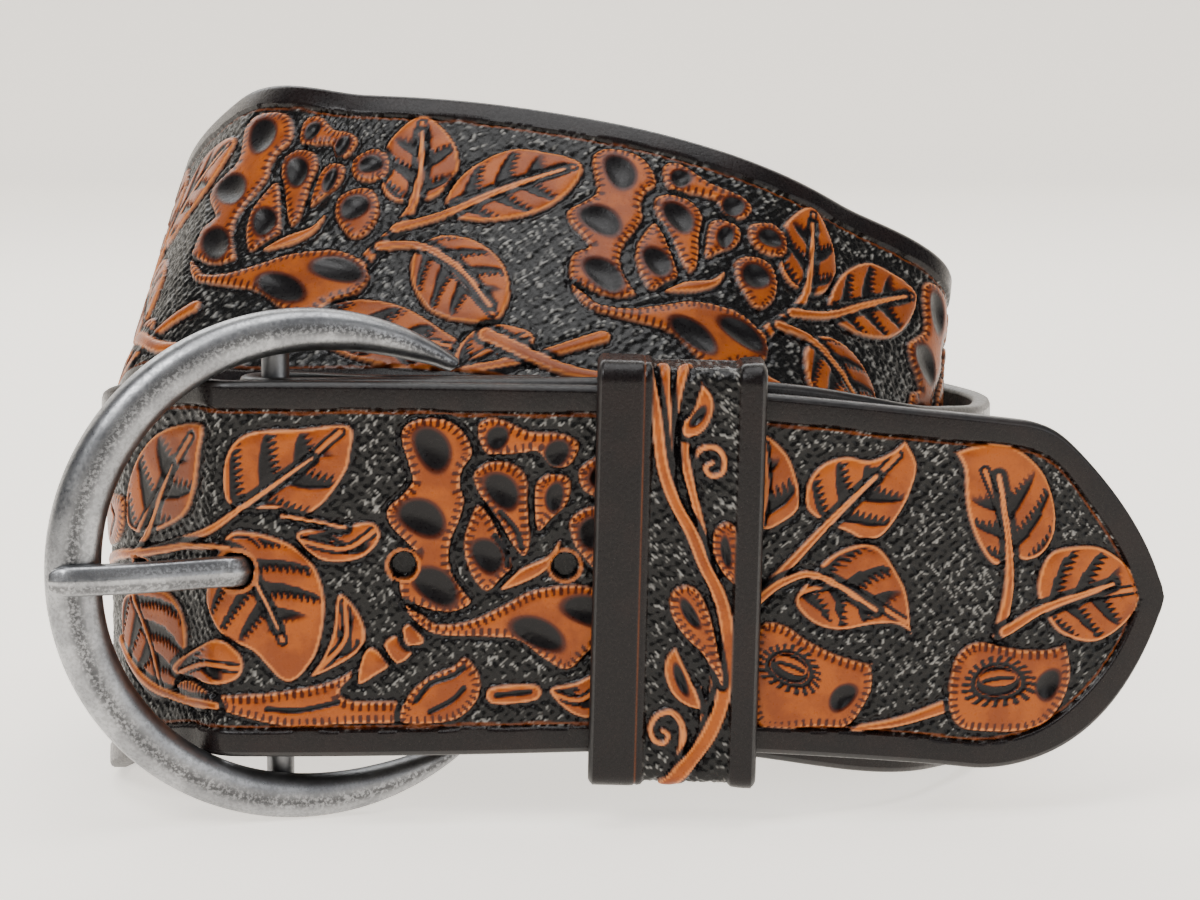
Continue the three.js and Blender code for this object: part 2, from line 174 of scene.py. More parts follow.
# Outlines and lines of the tooling, in pixels of the photograph. A point given twice makes a
# corner.
FRONT_LEAVES = [
    # outline, midrib from its foot to its tip, dark bands on each side
    ([(231, 506), (223, 474), (231, 447), (253, 432), (300, 429), (349, 426), (350, 455),
      (344, 474), (322, 504), (294, 521), (280, 510)], [(228, 520), (297, 469), (340, 432)], 3),
    ([(225, 537), (206, 589), (209, 614), (226, 639), (253, 652), (286, 682), (311, 663),
      (322, 633), (324, 597), (313, 565), (291, 545), (255, 533)],
     [(240, 560), (262, 596), (283, 640)], 3),
    ([(297, 533), (344, 526), (372, 523), (380, 537), (365, 556), (338, 563), (313, 556)],
     [(300, 540), (345, 548), (376, 530)], 1),
    ([(338, 595), (355, 608), (364, 628), (363, 647), (344, 663), (311, 677), (322, 660),
      (333, 633)], [(316, 672), (345, 640), (345, 603)], 2),
    ([(200, 425), (163, 430), (138, 455), (126, 495), (128, 527), (150, 533), (182, 517),
      (193, 490), (198, 455)], [(132, 545), (160, 492), (192, 436)], 3),
    ([(122, 602), (140, 590), (166, 592), (182, 616), (185, 650), (176, 680), (160, 700),
      (138, 684), (124, 648)], [(132, 592), (150, 640), (163, 694)], 3),
    ([(172, 670), (200, 645), (222, 640), (242, 660), (236, 680), (205, 684)],
     [(180, 672), (206, 664), (238, 668)], 1),
    ([(550, 690), (575, 683), (596, 676), (603, 700), (590, 718), (568, 712)],
     [(552, 694), (578, 700), (598, 690)], 1),
    ([(761, 436), (785, 452), (797, 478), (800, 505), (786, 520), (761, 528), (752, 480)],
     [(758, 540), (766, 490), (764, 445)], 2),
    ([(807, 509), (808, 484), (822, 465), (846, 457), (869, 461), (891, 453), (906, 441),
      (906, 441), (917, 465), (911, 492), (899, 515), (881, 536), (864, 540), (850, 533),
      (828, 524)], [(800, 560), (842, 512), (898, 455)], 4),
    ([(796, 601), (805, 585), (830, 557), (861, 544), (880, 549), (895, 568), (907, 595),
      (911, 632), (911, 632), (895, 624), (869, 626), (842, 630), (819, 626), (803, 614)],
     [(780, 600), (840, 586), (906, 622)], 4),
    ([(956, 453), (956, 453), (976, 446), (1002, 444), (1025, 453), (1045, 476), (1055, 507),
      (1054, 534), (1043, 553), (1026, 561), (1013, 556), (996, 565), (979, 544), (969, 518),
      (966, 495), (964, 469)], [(1012, 600), (1010, 540), (985, 470)], 4),
    ([(1039, 595), (1041, 572), (1051, 553), (1071, 547), (1098, 547), (1121, 559), (1136, 576),
      (1144, 587), (1144, 587), (1136, 610), (1117, 631), (1094, 642), (1071, 638),
      (1053, 626)], [(1020, 625), (1075, 600), (1140, 588)], 4),
]
FRONT_SHAPES = [
    # the main stem's ribbon, its chevrons and link, and the bar link at the left
    [(212, 704), (245, 718), (291, 727), (350, 724), (409, 721), (402, 703), (352, 702), (340, 690),
     (366, 663), (330, 682), (272, 693), (220, 696)],
    [(362, 658), (372, 648), (390, 664), (376, 676), (358, 684)],
    [(384, 645), (398, 636), (412, 652), (396, 664)],
    [(402, 630), (412, 624), (424, 642), (408, 645)],
    [(176, 688), (190, 680), (212, 700), (196, 712)],
    [(400, 722), (409, 696), (429, 677), (453, 667), (466, 658), (479, 677), (478, 699),
     (459, 718), (430, 724)],
    [(490, 688), (535, 685), (537, 700), (492, 704)],
    [(107, 500), (113, 494), (123, 500), (121, 530), (113, 546), (106, 538)],
]
FLOWER_CENTRE = (502, 543)
LONG_PETAL = [
    (401, 438), (409, 423), (431, 418), (453, 423), (467, 438), (472, 455), (463, 469),
    (460, 485), (464, 501), (459, 521), (451, 540), (449, 559), (453, 576), (464, 592),
    (471, 603), (455, 611), (437, 611), (420, 607), (404, 603), (400, 586), (401, 565),
    (415, 554), (407, 543), (390, 526), (387, 510), (401, 496), (412, 482), (409, 466),
]
FLOWER_PETALS = [
    LONG_PETAL,
    [(404, 605), (423, 616), (437, 624), (470, 621), (505, 605), (533, 591), (574, 585),
     (596, 590), (615, 603), (622, 622), (612, 641), (590, 650), (568, 670), (544, 658),
     (519, 641), (492, 637), (442, 635), (418, 625)],
    [(478, 426), (489, 418), (505, 421), (530, 432), (560, 434), (577, 442), (577, 454),
     (568, 466), (552, 467), (538, 452), (520, 453), (490, 455), (480, 443)],
    [(474, 480), (481, 466), (497, 461), (516, 466), (527, 480), (527, 505), (530, 540),
     (524, 556), (513, 545), (500, 525), (490, 512)],
    [(478, 505), (470, 520), (464, 540), (466, 560), (475, 580), (487, 592), (500, 580),
     (512, 568), (505, 548), (497, 530), (488, 514)],
    [(537, 530), (535, 490), (543, 477), (555, 474), (568, 478), (571, 490), (566, 505),
     (552, 518)],
    [(579, 470), (600, 456), (616, 458), (626, 474), (622, 492), (602, 498), (584, 490)],
    [(571, 520), (590, 507), (612, 510), (622, 535), (616, 560), (600, 572), (582, 555),
     (573, 540)],
    [(500, 590), (520, 570), (548, 556), (560, 540), (556, 560), (535, 578)],
]
FLOWER_HOLLOWS = [
    # centre, half length and half width, and how far it is turned, in degrees
    (433, 449, 25, 17, -62), (422, 517, 26, 18, -28), (436, 586, 27, 17, -38),
    (538, 633, 30, 15, -25), (590, 611, 30, 15, -18), (497, 438, 13, 11, 60),
    (557, 453, 15, 12, 60), (502, 490, 22, 15, -50), (488, 555, 20, 15, -55),
    (554, 497, 16, 9, 80), (604, 476, 16, 12, 10), (594, 532, 18, 16, 40),
]
FRONT_STEMS = [
    # line, and width at its foot and at its tip, in pixels
    ([(140, 553), (165, 546), (204, 532), (240, 508), (297, 469), (312, 459)], 13, 3),
    ([(132, 556), (148, 530), (162, 492), (172, 465)], 9, 3),
    ([(96, 560), (150, 552), (190, 546), (236, 552), (262, 596), (278, 628)], 13, 3),
    ([(282, 516), (320, 523), (345, 527)], 5, 4),
    ([(120, 640), (150, 685), (185, 700), (215, 706)], 12, 10),
    ([(752, 604), (790, 565), (840, 512), (876, 476)], 12, 5),
    ([(752, 606), (785, 582), (819, 577), (876, 610)], 10, 5),
    ([(853, 729), (900, 722), (949, 706)], 7, 14),
    ([(999, 636), (1010, 590), (1008, 540), (999, 476)], 13, 5),
    ([(1005, 632), (1050, 606), (1113, 584)], 12, 5),
]
FRONT_BUDS = [
    # outline, the dark line round its eye, its hollow
    ([(761, 626), (784, 626), (807, 641), (838, 656), (871, 665), (871, 665), (872, 687),
      (861, 710), (846, 727), (815, 727), (761, 727), (750, 675)],
     (790, 668, 27, 18, -20), (842, 697, 17, 11, 50)),
    ([(953, 668), (964, 649), (983, 642), (1014, 649), (1045, 650), (1066, 645), (1066, 645),
      (1071, 668), (1066, 694), (1048, 721), (1022, 731), (987, 731), (960, 727), (949, 706)],
     (997, 681, 29, 20, 8), (1048, 684, 17, 11, 75)),
]
FRONT_CUTS = [
    # thin dark cuts within the shapes
    [(267, 709), (300, 710), (338, 702)],
    [(416, 700), (430, 684), (452, 676), (464, 668)],
    [(497, 695), (530, 692)],
    [(430, 712), (452, 700), (464, 688)],
    [(500, 512), (516, 530), (522, 548)],
    [(495, 536), (506, 552), (508, 566)],
    [(113, 506), (116, 518), (112, 534)],
]
FRONT_HOLES = [(403, 566), (565, 566)]
UPPER_FLOWERS = [(279, 215), (672, 255)]

# One repeat of the tooling behind a flower, in millimetres right of the flower's centre and
# above the strap's middle
REPEAT_LEFT = 40
REPEAT_RIGHT = 60
FLOWER_ABOVE_MIDDLE = 4.3
REPEAT_STEMS = [
    ([(14.5, -9.0), (17.5, -3.0), (22.4, 4.6), (23.6, 12.0), (22.9, 21.0)], 2.4, 0.8),
    ([(21.0, 2.0), (28.0, 5.2), (36.0, 11.0), (45.0, 17.0)], 1.8, 0.7),
    ([(19.0, -1.5), (25.0, -1.2), (32.0, -5.0), (38.0, -11.5)], 1.8, 0.7),
    ([(-26.0, -17.0), (-12.0, -21.5), (2.0, -20.0), (14.0, -15.0)], 2.6, 1.6),
    ([(36.0, -24.0), (46.0, -20.0), (56.0, -14.0)], 1.4, 2.4),
]
REPEAT_LEAVES = [
    ([(18.6, 8.5), (17.0, 14.0), (18.0, 19.5), (22.7, 24.6), (27.6, 20.0), (29.0, 14.0),
      (26.8, 9.0), (22.6, 7.0)], [(22.4, 5.0), (23.6, 14.0), (22.9, 23.0)], 3),
    ([(28.0, 8.6), (30.5, 14.5), (36.0, 19.4), (42.0, 20.0), (47.8, 18.6), (46.4, 12.5),
      (42.0, 7.6), (35.0, 4.8), (29.5, 5.0)], [(26.0, 5.4), (36.0, 11.8), (46.4, 17.6)], 4),
    ([(24.5, -2.0), (24.6, -8.0), (28.0, -13.2), (33.5, -15.0), (39.4, -14.0), (40.6, -8.6),
      (38.6, -3.0), (34.0, 0.6), (28.5, 1.2)], [(24.0, 0.4), (31.0, -5.6), (38.6, -13.0)], 4),
    ([(10.0, -14.0), (16.0, -11.6), (23.0, -12.6), (30.0, -16.2), (36.4, -20.6), (30.0, -24.4),
      (22.0, -24.0), (14.0, -20.6)], [(9.0, -14.6), (20.0, -17.6), (35.0, -20.4)], 3),
    ([(34.7, -24.0), (34.8, -18.6), (38.6, -14.8), (45.3, -15.6), (45.0, -20.6), (41.0, -24.0)],
     [(34.8, -24.0), (39.4, -19.8), (44.6, -16.2)], 2),
]

# The keeper's scrolls, in pixels of the photograph
KEEPER_SCROLLS = [
    # line, and width at its foot and at its tip
    ([(673, 779), (682, 752), (683, 729), (673, 715), (659, 717), (651, 729), (654, 742),
      (664, 746), (669, 738), (663, 733)], 8, 5),
    ([(693, 495), (692, 465), (700, 450), (715, 448), (724, 459), (722, 473), (711, 476),
      (705, 468), (712, 463)], 7, 5),
    ([(698, 620), (710, 656), (715, 687), (704, 717)], 10, 8),
    ([(698, 690), (705, 717), (700, 748), (685, 779), (678, 792)], 9, 12),
    ([(685, 424), (685, 461), (693, 495), (702, 530), (711, 568), (715, 600)], 11, 6),
    ([(687, 352), (677, 396), (672, 438), (674, 476)], 12, 5),
    ([(663, 352), (666, 407), (669, 465), (681, 515)], 13, 5),
    ([(645, 352), (655, 407), (662, 465), (675, 503), (691, 532), (704, 564), (719, 595),
      (727, 626), (728, 668), (722, 706), (708, 740), (685, 771), (666, 792)], 10, 17),
]
KEEPER_LEAVES = [
    # outline, and its hollow: centre, half length, half width and turn
    ([(702, 385), (702, 385), (711, 396), (713, 411), (706, 428), (694, 437), (683, 435),
      (683, 423), (693, 411), (698, 396)], (698, 417, 13, 5, 35)),
    ([(723, 523), (735, 527), (739, 549), (738, 583), (727, 578), (717, 564), (712, 549),
      (714, 533)], (726, 552, 17, 5, 170)),
    ([(670, 599), (679, 587), (694, 588), (705, 603), (715, 633), (722, 668), (723, 687),
      (712, 668), (700, 652), (685, 637), (673, 618)], (690, 614, 18, 6, 148)),
    ([(676, 648), (676, 648), (685, 668), (696, 691), (701, 710), (688, 708), (673, 696),
      (665, 675), (667, 659)], (681, 681, 18, 5, 158)),
]
# The inner edges of the keeper's bands, and the side on which each band lies
KEEPER_BANDS = [(648, -1), (735, 1)]
KEEPER_LINE = 640
KEEPER_ROW = 578
KEEPER_MIDDLE = (677.4, 578.5)
KEEPER_SCALE = (6.73, 6.66)    # pixels in a millimetre

TAN = (0.31, 0.070, 0.005, 1)
TAN_DEEP = (0.115, 0.017, 0.002, 1)
TAN_SHADE = (0.065, 0.0105, 0.002, 1)
# Paler leather at the raised rims and crests, with a painted highlight on them
PALE_LEATHER_AND_HIGHLIGHT = (0.62, 0.21, 0.05, 1)
GROUND = (0.0030, 0.0028, 0.0027, 1)
GROUND_WORN = (0.022, 0.020, 0.019, 1)
# GLINT is a painted highlight: the glints on the ground's ridges
GLINT = (0.30, 0.29, 0.27, 1)
HOLLOW = (0.0030, 0.0022, 0.0026, 1)
BORDER = (0.0050, 0.0034, 0.0036, 1)
BORDER_WORN = (0.011, 0.0060, 0.0055, 1)
EDGE = (0.0045, 0.0036, 0.0038, 1)
EDGE_WORN = (0.010, 0.0065, 0.006, 1)
BACK = (0.030, 0.018, 0.013, 1)
BACK_PALE = (0.052, 0.030, 0.020, 1)
BACK_DARK = (0.018, 0.011, 0.008, 1)
SILVER = (0.36, 0.365, 0.375, 1)
SILVER_DULL = (0.25, 0.255, 0.265, 1)
# Dark of the patina, also used as painted shade on the metal's sides that face the strap
PATINA_AND_SHADE = (0.040, 0.040, 0.042, 1)
FLOOR = (0.88, 0.83, 0.755, 1)
FLOOR_SHADE = (0.86, 0.81, 0.735, 1)

LIGHTS = [
    # name, place, size, power, colour
    ("key", (-0.55, -0.75, 0.95), (0.7, 0.5), 11, (1, 1, 1)),
    ("top", (0.1, -0.1, 1.1), (0.9, 0.6), 8, (1, 1, 1)),
    ("fill", (0.9, -0.8, 0.4), (0.8, 0.8), 3.5, (1, 1, 1)),
    ("rim", (-0.2, 0.9, 0.7), (1.2, 0.5), 6, (0.9, 0.95, 1.0)),
]
LIGHTS_AIM = (0, 0, 0.05)
WORLD_COLOUR = (0.93, 0.95, 1.0, 1)
WORLD_STRENGTH = 0.2
# The floor from front to back, how far back and how high, in metres
FLOOR_PROFILE = [(-2.2, 0.0), (1.0, 0.0), (1.5, 0.03), (1.9, 0.2), (2.2, 0.6), (2.3, 1.2), (2.3, 4.0)]
FLOOR_HALF_WIDTH = 4.0


def corner_offset():
    """From the layout's millimetres to the row frame's, read from where the prong's loop stands."""
    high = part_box("buckle_prong")[1]
    return np.array([high.x * 1000 - BAR_X - PRONG_REACH, high.y * 1000 - BAR_Y - PRONG_REACH, 0.0])


OFFSET = corner_offset()


def to_metres(points):
    return (np.asarray(points, float) + OFFSET) / 1000


def smoothstep(low, high, value):
    t = np.clip((value - low) / (high - low), 0, 1)
    return t * t * (3 - 2 * t)


def pulse(value, low, high):
    """1 between low and high, falling off smoothly outside over half the band's width."""
    soft = (high - low) / 2
    return smoothstep(low - soft, low, value) * (1 - smoothstep(high, high + soft, value))


def through(points, steps, closed=False):
    """A smooth line through the points."""
    p = np.asarray(points, float)
    if closed:
        p = np.vstack([p[-1], p, p[0], p[1]])
    else:
        p = np.vstack([2 * p[0] - p[1], p, 2 * p[-1] - p[-2]])
    t = np.linspace(0, 1, steps, endpoint=False)[:, None]
    parts = []
    for a, b, c, d in zip(p[:-3], p[1:-2], p[2:-1], p[3:]):
        bend = 2 * a - 5 * b + 4 * c - d
        swing = 3 * b - a - 3 * c + d
        parts.append(0.5 * (2 * b + (c - a) * t + bend * t ** 2 + swing * t ** 3))
    if not closed:
        parts.append(p[-2:-1])
    return np.vstack(parts)


def distance_along(line):
    """How far along a line each of its points lies."""
    return np.r_[0, np.cumsum(np.linalg.norm(np.diff(line, axis=0), axis=1))]


def unit(ways):
    return ways / np.linalg.norm(ways, axis=1)[:, None]


def fold_places():
    """The folded end, from behind the bar round it to the front layer."""
    rest = FRONT_LAYER_Y + STRAP_THICKNESS + GAP
    top = BAR_Y + FOLD_RADIUS
    rows = []
    for left, climb in ((1, 0), (0.6, 0), (0.36, 0.11), (0.12, 0.89)):
        rows.append((BAR_X + FOLD_LENGTH * left, rest + (top - rest) * climb))
    for k in range(7):
        angle = math.pi / 2 + math.pi * k / 6
        rows.append((BAR_X + FOLD_RADIUS * math.cos(angle), BAR_Y + FOLD_RADIUS * math.sin(angle)))
    rows.append((BAR_X + FOLD_START, FRONT_LAYER_Y))
    return [(x, y, FRONT_HEIGHT, 0) for x, y in rows]


def coil_places():
    """The two turns, from the table."""
    rows = []
    for across, back, up, lean, layer in TURNS:
        height = up * STRAP_WIDTH if up else FRONT_HEIGHT
        x = COIL_LEFT + across * COIL_WIDTH
        rows.append((x, back * COIL_DEPTH + layer * FRONT_LAYER_Y, height, lean))
    return rows


def evened(rows):
    """Rounds off bends that are sharper than leather of this thickness can make."""
    reach = BEND_SAMPLES // 2
    before = 2 * rows[0] - rows[reach:0:-1]
    after = 2 * rows[-1] - rows[-2:-reach - 2:-1]
    padded = np.vstack([before, rows, after])
    window = np.hanning(BEND_SAMPLES + 2)[1:-1]
    window /= window.sum()
    return np.column_stack([np.convolve(padded[:, k], window, mode="valid") for k in range(3)])


def strap_path():
    """The strap's middle line: distance along, place, way up the strap and way out of the coil."""
    line = through(fold_places() + coil_places(), 24)
    centre = line[:, :3]
    centre[:, 2] = np.maximum(centre[:, 2], STRAP_WIDTH / 2)
    along = distance_along(centre)
    even = np.arange(0, along[-1], PATH_STEP)
    centre = np.column_stack([np.interp(even, along, centre[:, k]) for k in range(3)])
    lean = np.radians(np.interp(even, along, line[:, 3]))[:, None]
    centre[FOLD_SAMPLES:] = evened(centre[FOLD_SAMPLES:])
    ahead = unit(np.gradient(centre, axis=0))
    upright = unit(np.array([0, 0, 1.0]) - ahead * ahead[:, 2:])
    level = np.cross(ahead, upright)
    up = upright * np.cos(lean) - level * np.sin(lean)
    out = level * np.cos(lean) + upright * np.sin(lean)
    return even, centre, up, out


ALONG, CENTRE, UP, OUT = strap_path()
TOTAL = ALONG[-1]


def on_path(along, values):
    return np.column_stack([np.interp(along, ALONG, values[:, k]) for k in range(3)])


def half_width(from_tip):
    """Half the strap's width at distances from its tip."""
    taper = TIP_TAPER * (1 - smoothstep(TIP_LENGTH, TIP_LENGTH + TIP_TAPER_LENGTH, from_tip))
    full = STRAP_WIDTH / 2 * (1 - taper)
    t = np.clip(1 - from_tip / TIP_LENGTH, 0, 1)
    swell = 1 - t * t
    shape = np.maximum(swell ** TIP_FULLNESS, TIP_ROUNDING * np.sqrt(swell))
    return np.maximum(full * shape, TIP_END)


def to_picture(points):
    """Pixels of the photograph at which places of the layout are seen."""
    away = np.array([0, math.cos(ELEVATION), -math.sin(ELEVATION)])
    above = np.array([0, math.sin(ELEVATION), math.cos(ELEVATION)])
    seen = points - (TARGET - DISTANCE * away)
    depth = seen @ away
    x = PICTURE_SIZE[0] / 2 + FOCAL_PIXELS * seen[..., 0] / depth
    y = PICTURE_SIZE[1] / 2 - FOCAL_PIXELS * (seen @ above) / depth
    return np.stack([x, y], axis=-1)


class PictureLookup:
    """Finds where along and up the strap a pixel of the photograph lies."""

    def __init__(self, first, last):
        along = np.arange(first, last, LOOKUP_STEP)
        reach = STRAP_WIDTH / 2 - 0.1
        up = np.arange(-reach, reach, LOOKUP_STEP)
        surface = on_path(along, CENTRE) + on_path(along, OUT) * STRAP_THICKNESS / 2
        places = surface[:, None] + on_path(along, UP)[:, None] * up[None, :, None]
        pixels = to_picture(places).reshape(-1, 2)
        self.places = np.stack(np.meshgrid(along, up, indexing="ij"), axis=-1).reshape(-1, 2)
        self.tree = kdtree.KDTree(len(pixels))
        for i, (x, y) in enumerate(pixels):
            self.tree.insert((x, y, 0), i)
        self.tree.balance()

    def __call__(self, points):
        found = []
        for x, y in points:
            near = self.tree.find_n((x, y, 0), 4)
            weights = np.array([1 / (gap + 0.05) for _, _, gap in near])
            rows = self.places[[i for _, i, _ in near]]
            found.append((rows * weights[:, None]).sum(0) / weights.sum())
        return np.array(found)


def to_line(x, y, line):
    """Distance of places to a line, the length along it up to there, and the side they lie on."""
    best = np.full(x.shape, 1e9)
    reached = np.zeros(x.shape)
    side = np.ones(x.shape)
    travelled = 0.0
    for a, b in zip(line[:-1], line[1:]):
        step = b - a
        length = max(float(np.hypot(*step)), 1e-6)
        t = np.clip(((x - a[0]) * step[0] + (y - a[1]) * step[1]) / length ** 2, 0, 1)
        distance = np.hypot(x - a[0] - t * step[0], y - a[1] - t * step[1])
        turn = np.sign(step[0] * (y - a[1]) - step[1] * (x - a[0]))
        closer = distance < best
        best = np.where(closer, distance, best)
        reached = np.where(closer, travelled + t * length, reached)
        side = np.where(closer, turn, side)
        travelled += length
    return best, reached, side


def within(x, y, outline):
    """True for the places inside an outline."""
    inside = np.zeros(x.shape, bool)
    for a, b in zip(outline, np.roll(outline, -1, axis=0)):
        crosses = (a[1] > y) != (b[1] > y)
        rise = b[1] - a[1] if b[1] != a[1] else 1e-9
        inside ^= crosses & (x < a[0] + (y - a[1]) * (b[0] - a[0]) / rise)
    return inside


class Tooling:
    """Height and colour marks of the tooled leather at a grid of places."""

    def __init__(self, x, y, edge):
        self.x = x
        self.y = y
        self.edge = edge
        self.tan = np.zeros(x.shape)
        self.dark = np.zeros(x.shape)
        self.border = np.zeros(x.shape)
        self.height = self.matted()

    def marks(self):
        return np.stack([self.tan, self.light, self.dark, self.border], -1)

    def matted(self):
        """The ground, beaten down in a crossed pattern that is never quite even, with painted glints."""
        x = self.x + 0.22 * np.sin(self.y * 2.1) + 0.3 * np.sin(self.y * 0.37)
        y = self.y + 0.22 * np.sin(self.x * 1.7) + 0.3 * np.sin(self.x * 0.41)
        one = (x + 0.8 * y) / MATTING_PITCH
        other = (x - 0.8 * y) / MATTING_PITCH
        ridges = np.maximum(np.abs(np.cos(math.pi * one)), np.abs(np.cos(math.pi * other))) ** 3
        chance = np.sin(np.floor(2 * one) * 12.9898 + np.floor(2 * other) * 78.233) * 43758.5453
        chance -= np.floor(chance)
        # The light mark here is painted glints: highlights painted on random ridge tops.
        self.light = smoothstep(0.6, 0.97, ridges) * smoothstep(0.68, 0.95, chance)
        uneven = 0.06 * np.sin(x * 1.3) * np.sin(y * 1.1)
        return -GROUND_DEPTH + MATTING_RISE * ridges * (0.45 + 0.55 * chance) + uneven

    def rows_near(self, points, margin):
        low = points[:, 0].min() - margin
        high = points[:, 0].max() + margin
        column = self.x[:, 0]
        rows = np.flatnonzero((column >= low) & (column <= high))
        return slice(rows[0], rows[-1] + 1) if len(rows) else None

    def raise_shape(self, rows, depth, full=1.5):
        """Leaves a shape standing above the ground. Depth is the distance inside its outline."""
        body = smoothstep(-0.12, 0.2, depth)
        dome = -SHAPE_FOOT + SHAPE_RISE * np.sqrt(np.clip(depth / full, 0, 1))
        moat = pulse(depth, -0.75, -0.15)
        ground = self.height[rows] * (1 - body)
        self.height[rows] = ground + dome * body - MOAT_DEPTH * moat * (1 - body)
        self.tan[rows] = np.maximum(self.tan[rows] * (1 - 0.95 * moat), body)
        self.dark[rows] = self.dark[rows] * (1 - body) + 0.8 * moat * (1 - body)
        # The rim just inside the outline is paler leather with a painted highlight.
        rim = pulse(depth, 0.1, 0.38) * body
        self.light[rows] = self.light[rows] * (1 - body) * (1 - moat) + rim

    def shape(self, outline, full=1.5, ticked=True):
        """A raised shape. A wide one has short ticks along the inside of its edge."""
        outline = through(outline, 5, closed=True)
        rows = self.rows_near(outline, 1.5)
        if rows is None:
            return None, None
        x, y = self.x[rows], self.y[rows]
        ring = np.vstack([outline, outline[:1]])
        gap, reached, _ = to_line(x, y, ring)
        depth = np.where(within(x, y, outline), gap, -gap)
        self.raise_shape(rows, depth, full)
        if ticked and depth.max() > TICKED_FROM:
            ticks = smoothstep(0.0, 0.7, np.sin(2 * math.pi * reached / TICK_PITCH))
            self.cut(rows, 0.55 * ticks * pulse(depth, 0.3, 1.15), TICK_DEPTH)
        return rows, depth

    def stem(self, line, foot, tip):
        """A raised line, whose width goes from foot to tip."""
        line = through(line, 6)
        rows = self.rows_near(line, 2)
        if rows is None:
            return
        gap, reached, _ = to_line(self.x[rows], self.y[rows], line)
        half = (foot + (tip - foot) * reached / distance_along(line)[-1]) / 2
        self.raise_shape(rows, half - gap, 1.0)

    def leaf(self, outline, rib, bands):
        """A leaf with a midrib and dark bands, whose edges are ticked, on both its sides."""
        rows, depth = self.shape(outline, ticked=False)
        if rows is None:
            return
        rib = through(rib, 5)
        length = distance_along(rib)[-1]
        gap, reached, side = to_line(self.x[rows], self.y[rows], rib)
        band = self.leaf_band(gap, depth, reached, side, length * 0.92 / bands)
        band = band * (1 - smoothstep(0.74, 0.9, reached / length))
        self.cut(rows, band, CUT_DEPTH)
        groove = pulse(gap, 0.5, 0.75) * smoothstep(0.3, 0.8, depth)
        self.cut(rows, groove, 0.2)
        # The midrib's crest is painted lighter: paler leather with a painted highlight on the ridge.
        ridge = (1 - smoothstep(0.15, 0.45, gap)) * smoothstep(0, 0.4, depth)
        self.light[rows] = np.maximum(self.light[rows], 0.55 * ridge)

    def leaf_band(self, gap, depth, reached, side, pitch):
        """The dark bands that run out and forward from a leaf's midrib, narrower as they go."""
        outward = gap / np.maximum(gap + depth, 0.1)
        bow = 0.45 * outward * outward
        phase = (reached - 0.55 * gap + np.where(side > 0, 0.12, 0.55) * pitch) / pitch - bow
        part = phase - np.floor(phase)
        ticks = 0.13 * np.sin(2 * math.pi * (gap + 0.25 * reached) / 0.95)
        wide = 0.66 - 0.42 * outward
        band = smoothstep(0.0, 0.08, part) * (1 - smoothstep(wide - 0.08, wide + 0.06, part + ticks))
        return band * smoothstep(0.2, 0.7, gap) * smoothstep(0.45, 0.9, depth)

    def cut(self, rows, mask, depth):
        self.height[rows] -= depth * mask
        self.dark[rows] = np.maximum(self.dark[rows], mask)
        self.light[rows] *= 1 - mask

    def line_cut(self, line, width=0.5):
        line = through(line, 6)
        rows = self.rows_near(line, 1)
        if rows is None:
            return
        gap = to_line(self.x[rows], self.y[rows], line)[0]
        self.cut(rows, 1 - smoothstep(width * 0.5, width, gap), CUT_DEPTH)

    def oval(self, x, y, length, width, turn):
        """The rows near a bent oval, and how far places lie along, across and from its middle."""
        rows = self.rows_near(np.array([[x, y]]), length * 1.6)
        if rows is None:
            return None, None, None, None
        dx, dy = self.x[rows] - x, self.y[rows] - y
        a = (dx * math.cos(turn) + dy * math.sin(turn)) / length
        b = (dy * math.cos(turn) - dx * math.sin(turn)) / width
        return rows, a, b, np.hypot(a, b + 0.18 * (a * a))

    def hollow(self, x, y, length, width, turn):
        """A dished place beaten into a petal, darkest at its middle."""
        rows, _, _, radius = self.oval(x, y, length, width, turn)
        if rows is None:
            return
        self.height[rows] -= HOLLOW_DEPTH * np.clip(1 - radius * radius, 0, 1) ** 1.2
        dark = 1 - smoothstep(0.6, 1.28, radius)
        self.dark[rows] = np.maximum(self.dark[rows], dark)
        self.light[rows] *= 1 - dark ** 2

    def eye(self, x, y, length, width, turn):
        """A bud's eye: a ring with ticks round it, a dark crescent and a slit lens."""
        rows, a, b, radius = self.oval(x, y, length, width, turn)
        if rows is None:
            return
        angle = np.arctan2(b, a)
        ticks = smoothstep(-0.1, 0.5, np.sin(22 * angle + 5 * radius))
        lens = np.hypot(a / 0.66, (b - 0.14) / 0.42)
        crescent = (1 - smoothstep(0.7, 0.8, radius)) * smoothstep(0.95, 1.12, lens)
        slit = 1 - smoothstep(0.06, 0.13, np.abs(b - 0.14 + 0.3 * a * a - 0.12 * a))
        slit *= 1 - smoothstep(0.5, 0.62, np.abs(a))
        self.cut(rows, pulse(radius, 1.02, 1.26) * ticks, 0.14)
        self.cut(rows, pulse(radius, 0.84, 0.95), CUT_DEPTH)
        self.cut(rows, crescent, 0.4)
        self.cut(rows, slit, 0.2)

    def hole(self, x, y, hole_radius=HOLE_RADIUS):
        """A punched hole, deep, its pit painted dark as shade, with a bare lip that is paler with a
        painted highlight.
        """
        rows = self.rows_near(np.array([[x, y]]), hole_radius + 2)
        if rows is None:
            return
        radius = np.hypot((self.x[rows] - x) / hole_radius, (self.y[rows] - y) / hole_radius)
        pit = 1 - smoothstep(0.9, 1.05, radius)
        lip = pulse(radius, 1.1, 1.3)
        self.height[rows] = self.height[rows] * (1 - pit) - HOLE_DEPTH * pit
        self.tan[rows] = np.maximum(self.tan[rows] * (1 - pit), 0.9 * lip)
        # The pit is painted dark: painted shade inside the hole.
        self.dark[rows] = np.maximum(self.dark[rows] * (1 - lip), pit)
        self.light[rows] = self.light[rows] * (1 - pit) * (1 - lip) + 0.4 * lip

